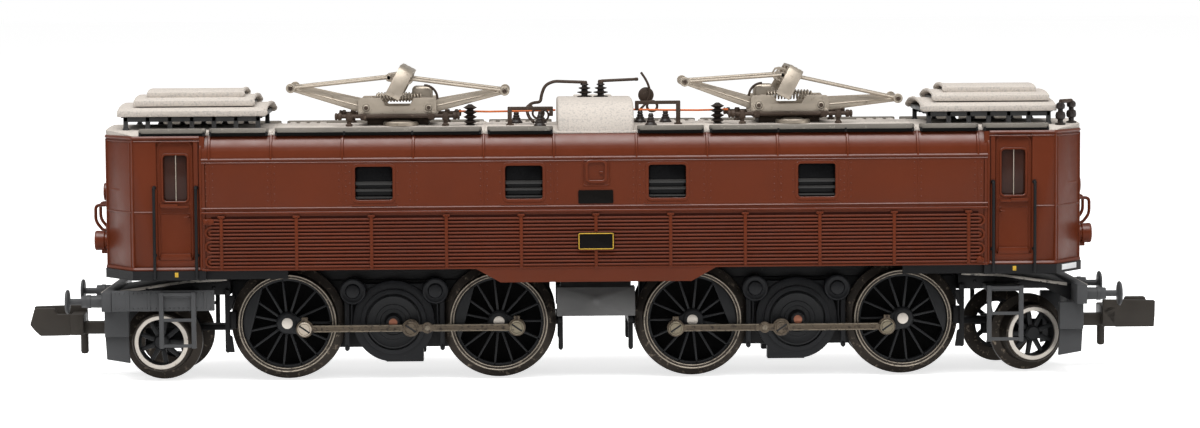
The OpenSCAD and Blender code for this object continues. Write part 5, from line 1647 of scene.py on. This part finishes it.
class LocoRods(bpy.types.Operator):
    """Coupling rods with bosses, knuckle joints and pale edges"""
    bl_idname = "loco.rods"
    bl_label = "Coupling rods"

    def execute(self, context):
        for side, place in BOGIES.items():
            # the near rod is on -Y of the locomotive, whichever way the bogie stands
            for way, angle in zip(SIDES, CRANKS[side]):
                which = "near" if (way < 0) == (side == "left") else "far"
                body = side + "_" + which + "_rod"
                px, pz = crank_pin(angle)
                rod, edge = self.rod(way)
                to = place @ at(px, 0, AXLE_Z + pz)
                piece(body + "_bar", moved(rod, to), body, "rod", "rod_metal", body)
                piece(body + "_edge", moved(edge, to), body, "rod_edge", "rod_metal")
        return {"FINISHED"}

    @staticmethod
    def rod(way):
        """A fluted rod over three bosses, and its worn edges."""
        half = 0.33
        beam = slab(0, AXLE_X, (ROD_Y + 0.02, ROD_Y + 0.48), (-half, half), 0.08)
        for start, end in ((-AXLE_X + 1.1, -1.1), (2.5, AXLE_X - 1.1)):
            cut(beam, bar((start, ROD_Y + 0.36, -0.15), (end, ROD_Y + 0.9, 0.15), 0))
        parts, edge = [beam], []
        for x in (-AXLE_X, 0, AXLE_X):
            boss = turned((x, ROD_Y + 0.01, 0), FAR,
                          [(0, 0.8), (0.05, 0.84), (0.42, 0.84), (0.49, 0.76)], 32)
            parts.append(boss)
        for part in parts:
            for x in (-AXLE_X, 0, AXLE_X):
                bored(part, (x, ROD_Y - 1, 0), 0.45, 3)
        for x in (-AXLE_X, AXLE_X):
            parts.append(slab(x, 0.3, (ROD_Y + 0.05, ROD_Y + 0.44), (0.72, 1.12), 0.06))
        parts.append(turned((1.6, ROD_Y + 0.05, 0), FAR, [(0, 0.54), (0.4, 0.54), (0.47, 0.45)],
                            20))
        edge.append(turned((1.6, ROD_Y + 0.4, 0), FAR, [(0, 0.26), (0.14, 0.26), (0.17, 0.16)],
                           16))
        for start, end in ((-AXLE_X + 0.85, -0.85), (2.2, AXLE_X - 0.85)):
            for z in (-half + 0.05, half - 0.05):
                edge.append(bar((start, ROD_Y + 0.44, z - 0.04), (end, ROD_Y + 0.5, z + 0.04),
                                0.02, 1))
        if way < 0:
            moved(parts + edge, MIRROR_Y)
        return parts, edge


class LocoTrucks(bpy.types.Operator):
    """Carrying trucks and their small wheels"""
    bl_idname = "loco.trucks"
    bl_label = "Carrying trucks"

    def execute(self, context):
        for side, place in BOGIES.items():
            to = place @ turn("Z", SWING[side], (TRUCK_X, 0, 0))
            self.truck(side, to)
            self.wheels(side, to @ at(TRUCK_X - TRUCK_ARM, 0, TRUCK_Z))
        return {"FINISHED"}

    @staticmethod
    def truck(side, place):
        """The truck's arm, its cross plate, its cheeks and two screws."""
        x = TRUCK_X - TRUCK_ARM
        arm = prism([(x - 0.95, -1.08), (TRUCK_X - 0.4, -1.08), (TRUCK_X + 0.7, -1.1),
                     (TRUCK_X + 1.35, -0.5), (TRUCK_X + 1.35, 0.5), (TRUCK_X + 0.7, 1.1),
                     (TRUCK_X - 0.4, 1.08), (x - 0.95, 1.08)], 4.46, 4.99, "Z", 0.06)
        bored(arm, (TRUCK_X, 0, 4.0), 0.86, 2, 24, UP)
        parts = [arm, slab(x, 0.95, (-3.35, 3.35), (4.46, 4.99), 0.08)]
        for y in (-2.95, 2.95):
            cheek = slab(x, 2.0, (y - 0.42, y + 0.42), (TRUCK_Z - 0.85, 4.9), 0.08)
            parts.append(bored(cheek, (x, y - 1, TRUCK_Z), 0.66, 2))
        for y in (-0.8, 0.8):
            parts.append(turned((x + 2.4, y, 4.95), UP, [(0, 0.25), (0.04, 0.25), (0.05, 0.1)],
                                12))
        piece(side + "_truck_arm", moved(parts, place), side + "_truck", "black",
              "blackened_steel", side + "_truck")

    @staticmethod
    def wheels(side, place):
        """The truck's two wheels on their axle."""
        body = side + "_truck_wheels"
        ring = tyre(*SMALL_WHEEL)
        piece(body + "_tyres", moved(twin_sides([ring]), place), body, "worn_tyre", "nickel", body)
        band = turned((0, WHEEL_BACK + 1.7, 0), FAR, [(0, 2.64), (0.5, 2.64), (0.55, 2.58)], 64)
        bored(band, (0, 4, 0), 2.24, 4, 64)
        piece(body + "_bright", moved(twin_sides([band]), place), body, "bright", "nickel")
        centre = spokes(9, 0.6, 2.55, WHEEL_BACK + 1.3, 0.5, 0.45)
        centre.append(turned((0, WHEEL_BACK + 0.4, 0), FAR, [(0, 0.75), (1.6, 0.75), (1.78, 0.6)],
                             24))
        backing = turned((0, WHEEL_BACK + 0.5, 0), FAR, [(0, 2.62), (1.5, 2.62)], 48)
        centre.append(bored(backing, (0, 0, 0), 2.2, 9, 48))
        centre = twin_sides(centre)
        centre.append(turned((0, -WHEEL_BACK - 0.5, 0), FAR, [
            (0, 0.58), (2 * WHEEL_BACK + 1.0, 0.58)], 20))
        piece(body + "_centres", moved(centre, place), body, "spoke", "blackened_steel")


def hanger(x, top, low, high, foot=0.1):
    """A flat brake hanger with a narrowed foot, between y = low and y = high."""
    bottom = HANGER_FOOT + 0.18
    return prism([(x - 0.23, bottom), (x - foot, HANGER_FOOT), (x + foot, HANGER_FOOT),
                  (x + 0.23, bottom), (x + 0.23, top), (x - 0.23, top)], low, high, "Y", 0.05)


def pivot(x, y, length, end):
    """The round pivot at a hanger's foot."""
    return turned((x, y, 3.2), FAR, [(0, 0.1), (0.06, 0.24), (length, 0.24), (end, 0.12)], 14)


class LocoBogies(bpy.types.Operator):
    """Bogie frames with top plates, hangers, gear covers and sandboxes"""
    bl_idname = "loco.bogies"
    bl_label = "Bogie frames"

    def execute(self, context):
        for side, place in BOGIES.items():
            body = side + "_bogie"
            piece(body + "_block", moved(self.block(), place), body, "black", "ballast",
                  side + "_bogie_frame")
            piece(body + "_cover", moved(self.cover(), place), body, "cover",
                  "dark_plastic", side + "_gear_cover")
        return {"FINISHED"}

    @staticmethod
    def block():
        """The metal block, its sloping top plate, pins and brake hangers."""
        low = bar((-11.6, -3.28, 2.92), (15.28, 3.28, 9.58), 0.15)
        for x, radius in ((-AXLE_X, 1.08), (0, 0.7), (AXLE_X, 1.08)):
            bored(low, (x, -4, AXLE_Z), radius, 8)
        parts = [low, bar((-15.88, -3.28, 5.22), (-11.5, 3.28, 9.58), 0.15)]
        parts.append(prism([(-15.88, 8.32), (-15.88, 9.78), (-19.5, 9.78), (-26.98, 8.73),
                            (-26.98, 7.07), (-24.5, 8.32)], -4.58, 4.58, "Y", 0.06))
        parts.append(turned((0, 0, 9.5), UP, [(0, 2.78), (0.4, 2.78), (0.42, 1.5), (2.3, 1.5),
                                              (2.5, 1.3)], 40))
        parts.append(turned((TRUCK_X, 0, 4.07), UP,
                            [(0, 1.0), (0.1, 1.08), (0.28, 1.08), (0.3, 0.79), (3.0, 0.79)], 28))
        parts.append(bar((15.2, -3.28, 5.02), (16.5, 3.28, 5.88), 0.1))
        parts.append(slab(0, 8.4, (-3.1, 3.1), (9.3, BLOCK_TOP), 0.1))
        side = [
            bar((-16.38, 4.5, 8.3), (-15.9, 5.33, 8.88), 0.06),
            bar((-16.3, 4.5, 5.0), (-15.3, 4.95, 6.7), 0.1),
            prism([(-16.3, 2.75), (-15.5, 2.75), (-15.7, 4.3), (-16.3, 4.6)], 4.9, 5.3, "Y", 0.06),
            prism([(-16.3, 6.6), (-15.75, 6.9), (-15.4, 8.3), (-16.3, 8.3)], 4.9, 5.3, "Y", 0.06),
            hanger(-16.15, 8.4, 4.87, 5.33),
            bar((16.07, 3.2, 5.32), (16.53, 5.33, 5.88), 0.06),
            hanger(16.3, 5.4, 4.87, 5.33),
            pivot(-16.15, 4.8, 0.45, 0.54),
            pivot(16.3, 4.8, 0.45, 0.54),
        ]
        # rivets along the edge of the top plate
        for x in (-17.5, -19.6, -21.8, -24.0):
            side.append(rivet(0.2, 0.14, (x, 4.55, 9.05 if x > -21 else 8.9), FAR))
        return parts + twin_sides(side)

    @staticmethod
    def cover():
        """Round gear cover with its ring, sandboxes and hangers, both sides."""
        disc = turned((0, 3.3, AXLE_Z), FAR, [(0, 3.98), (1.3, 3.98), (1.38, 3.85), (1.4, 3.3)],
                      64)
        bored(disc, (0, 2, AXLE_Z), 0.7, 4)
        foot = prism([(-0.78, AXLE_Z - 3.98), (2.88, AXLE_Z - 3.98), (2.88, AXLE_Z),
                      (-0.78, AXLE_Z)], 3.32, 4.68, "Y", 0.08)
        bored(foot, (0, 2, AXLE_Z), 0.72, 4)
        ring = turned((0, 4.6, AXLE_Z), FAR, [(0, 3.18), (0.55, 3.18), (0.59, 3.08)], 64)
        bored(ring, (0, 4, AXLE_Z), 2.78, 2, 64)
        parts = [disc, foot, ring, bar((-4.58, 3.32, 7.52), (4.78, 4.38, 9.28), 0.1)]
        for x in (-3.95, 4.1):
            parts.append(turned((x, 4.3, 8.6), FAR, [
                (0, 1.3), (0.75, 1.3), (0.9, 1.22), (0.95, 1.1), (0.88, 1.0), (0.86, 0.75),
                (1.0, 0.68), (1.1, 0.62), (1.14, 0.5), (1.18, 0.2)], 40))
            parts.append(slab(x, 0.3, (4.2, 5.0), (9.1, 9.9), 0.1))
        for x in (-4.55, 4.75):
            parts.append(hanger(x, 8.0, 4.37, 4.88, 0.08))
            parts.append(pivot(x, 4.3, 0.5, 0.58))
            parts.append(wire(bent([(x * 0.9, 4.6, 7.4), (x * 0.9, 4.62, 5.6),
                                    (x * 0.98, 4.62, 4.2)], 0.5), 0.1))
        return twin_sides(parts)


class LocoCentreBox(bpy.types.Operator):
    """The box hanging under the body between the bogies"""
    bl_idname = "loco.centre_box"
    bl_label = "Centre box"

    def execute(self, context):
        side = [slab(0, 3.78, (5.0, 6.78), (6.2, 8.98), 0.15)]
        # raised frame and ribs on the box's face
        side += [slab(0, 3.78, (6.7, 6.98), (8.62, 8.98), 0.06),
                 slab(0, 3.78, (6.7, 6.98), (6.22, 6.5), 0.06),
                 bar((-3.78, 6.7, 6.3), (-3.45, 6.98, 8.9), 0.06),
                 bar((3.45, 6.7, 6.3), (3.78, 6.98, 8.9), 0.06),
                 bar((-2.6, 6.7, 6.9), (-0.3, 6.9, 8.2), 0.1),
                 bar((0.3, 6.7, 6.9), (2.6, 6.9, 8.2), 0.1)]
        for x in (-3.1, 0, 3.1):
            for z in (6.72, 8.42):
                side.append(rivet(0.14, 0.12, (x, 6.78, z), FAR))
        for x in (-1.9, -1.0, 1.0, 1.9):
            side.append(slab(x, 0.08, (6.8, 6.98), (7.05, 8.05), 0.03, 1))
        box = cad_copy("centre_box")
        # the box takes the paler copy of the slate grey: painted light against the body's shadow
        piece("centre_box_core", [box] + twin_sides(side), "body", "centre", "dark_plastic",
              "centre_box")
        return {"FINISHED"}


class LocoEnds(bpy.types.Operator):
    """Buffer beams, side plates, ladders, guards, buffers and couplers"""
    bl_idname = "loco.ends"
    bl_label = "Ends"

    def execute(self, context):
        for side, place in BOGIES.items():
            body = side + "_bogie"
            piece(side + "_end", moved(self.beam(), place), body, "slate", "grey_plastic",
                  side + "_end_frame")
            edge = moved(self.pale_edge(side), place)
            piece(side + "_end_edge", edge, body, "pale_edge", "grey_plastic")
            piece(side + "_buffer_set", moved(self.buffers(), place), body, "slate",
                  "grey_plastic", side + "_buffers")
            piece(side + "_hook", moved(self.coupler(), place), body, "hook", "dark_plastic",
                  side + "_coupler")
        return {"FINISHED"}

    @staticmethod
    def beam():
        """Buffer beam with its box, side plate, ladders and rail guards."""
        outer, inner = BEAM_X
        beam = bar((outer, -7.98, 7.07), (inner, 7.98, 8.98), 0.08)
        box = bar((outer, -1.98, 3.72), (inner, 1.98, 7.2), 0.08)
        for part in (beam, box):
            cut(part, bar((-29, -0.87, 4.13), (-26, 0.87, 5.37), 0))
        parts = [beam, box]
        half = [bar((-27.98, 5.22, 4.42), (-25.62, 6.18, 7.08), 0.1),
                prism([(-27.98, 4.5), (-25.72, 4.5), (-25.66, 3.2), (-25.6, 1.82), (-27.85, 2.2),
                       (-27.9, 3.2)], 5.32, 5.78, "Y", 0.06)]
        for i in range(9):
            half.append(rivet(0.11, 0.1, (-28.0, 0.9 + 0.78 * i, 8.65), LEFT))
            half.append(rivet(0.11, 0.1, (-28.0, 2.3 + 0.62 * i, 7.35), LEFT))
        half.append(wire(bent([(-27.9, 3.2, 7.4), (-28.0, 3.2, 5.4), (-27.4, 3.4, 3.9)], 0.6),
                         0.18, 12))
        parts += twin_sides(half)
        for way, shift in ((-1, 0), (1, 0.7)):
            ladder = [bar((x - 0.02, 8.13, 3.52), (x + 0.42, 8.5, 8.98), 0.05)
                      for x in (-22.4, -19.3)]
            for z in (3.62, 6.12, 8.62):
                ladder.append(bar((-22.38, 8.17, z), (-18.92, 8.48, z + 0.3), 0.05))
                ladder.append(bar((-22.0, 7.9, z + 0.12), (-19.3, 8.3, z + 0.24), 0.03))
            ladder.append(bar((-22.38, 4.62, 8.42), (-18.92, 8.24, 8.93), 0.08))
            moved(ladder, at(shift, 0, 0))
            parts += moved(ladder, MIRROR_Y) if way < 0 else ladder
        # side plate on one side only, with rivet rows and ribs
        parts.append(bar((-27.0, -8.12, 7.12), (-17.12, -7.72, 9.13), 0.06))
        for i in range(22):
            x = -26.7 + i * 0.44
            parts.append(rivet(0.09, 0.07, (x, -8.12, 8.85), NEAR))
            parts.append(rivet(0.09, 0.07, (x, -8.12, 7.4), NEAR))
        for x in (-25.4, -23.4, -18.0):
            parts.append(slab(x, 0.12, (-8.19, -8.0), (7.2, 9.05), 0.04))
        return parts

    @staticmethod
    def pale_edge(side):
        """Pale strips along the edge of the top plate and the top of the beam."""
        near = -1 if side == "left" else 1
        line = prism([(-16.2, 9.7), (-16.2, 9.84), (-19.5, 9.84), (-26.6, 8.86), (-26.6, 8.55),
                      (-23.5, 9.02), (-20.2, 9.5)], min(near * 4.5, near * 4.66),
                     max(near * 4.5, near * 4.66), "Y", 0.03)
        beam = bar((-28.03, -7.9, 8.88), (-27.9, 7.9, 8.99), 0.02, 1)
        return [line, beam]

    @staticmethod
    def buffers():
        """Sprung buffers: a stepped case, a rod and a round head."""
        x, y, z = BUFFER
        case = turned(BUFFER, LEFT, [
            (-0.03, 0.95), (0.14, 0.95), (0.2, 0.62), (1.3, 0.6), (1.36, 0.66), (1.7, 0.66),
            (1.78, 0.6), (2.22, 0.58), (2.24, 0.31), (3.5, 0.31)], 28)
        head = turned((x - 3.46, y, z), LEFT, [
            (-0.1, 0.35), (0, 1.1), (0.08, 1.19), (0.2, 1.19), (0.3, 1.05), (0.36, 0.6)], 40)
        bolts = [rivet(0.13, 0.12, (x - 0.02, y + dy, z + dz), LEFT)
                 for dy in (-0.78, 0.78) for dz in (-0.6, 0.6)]
        return twin_sides([case, head] + bolts)

    @staticmethod
    def coupler():
        """The coupler: shank, cross block, hooked cheeks and drop pin."""
        z = COUPLER_Z
        return [
            bar((-31.8, -0.83, z - 0.58), (-26.75, 0.83, z + 0.58), 0.1),
            bar((-31.95, -1.88, z - 0.58), (-30.62, 1.88, z + 1.48), 0.12),
            prism([(-31.9, z - 0.6), (-33.7, z - 0.63), (-34.85, z - 0.63), (-35.5, z),
                   (-35.86, z + 0.5), (-35.6, z + 1.4), (-35.4, z + 2.08), (-33.5, z + 2.08),
                   (-33.25, z + 1.48), (-31.9, z + 1.48)], -1.88, -0.92, "Y", 0.1),
            prism([(-31.9, z - 0.63), (-35.76, z - 0.63), (-35.84, z + 0.6), (-35.86, z + 1.98),
                   (-33.0, z + 2.05), (-30.7, z + 2.08), (-30.62, z + 1.0)], 1.12, 1.88, "Y", 0.1),
            turned((-30.78, 0, z - 0.05), DOWN,
                   [(0, 0.39), (2.3, 0.39), (2.5, 0.3), (2.54, 0.15)], 16),
            bar((-35.5, -1.0, z + 0.1), (-35.1, 1.2, z + 0.5), 0.08),
        ]


# ---- the add-on --------------------------------------------------------------
class LocoPanel(bpy.types.Panel):
    """Lists the settings and the steps"""
    bl_idname = "VIEW3D_PT_loco"
    bl_label = "Model locomotive"
    bl_space_type = "VIEW_3D"
    bl_region_type = "UI"
    bl_category = "Locomotive"

    def draw(self, context):
        layout = self.layout
        for group in (context.scene.loco_sizes, context.scene.loco_colours):
            for name in group.bl_rna.properties.keys():
                if name not in ("rna_type", "name"):
                    layout.prop(group, name)
        for step in STEPS:
            layout.operator(step.bl_idname)


STEPS = (LocoFinishes, LocoPlainNodes, LocoBody, LocoOpenings, LocoGlass, LocoPipes, LocoPlates,
         LocoHandrails, LocoLamps, LocoRoof, LocoRoofBox, LocoResistors, LocoInsulators,
         LocoConductors, LocoPantographFrames, LocoPantographs, LocoDrivers, LocoRods,
         LocoTrucks, LocoBogies, LocoCentreBox, LocoEnds, LocoStage)
CLASSES = (LocoSizes, LocoColours, *STEPS, LocoPanel)


def register():
    """Adds the classes and the scene's settings."""
    for cls in CLASSES:
        bpy.utils.register_class(cls)
    bpy.types.Scene.loco_sizes = bpy.props.PointerProperty(type=LocoSizes)
    bpy.types.Scene.loco_colours = bpy.props.PointerProperty(type=LocoColours)


def unregister():
    """Takes the settings and the classes away again."""
    del bpy.types.Scene.loco_sizes
    del bpy.types.Scene.loco_colours
    for cls in reversed(CLASSES):
        bpy.utils.unregister_class(cls)


def run(step):
    """Calls one step's operator."""
    group, name = step.bl_idname.split(".")
    getattr(getattr(bpy.ops, group), name)()


def main():
    """Builds everything."""
    register()
    for step in STEPS:
        run(step)
    deselect()


if __name__ == "__main__":
    main()
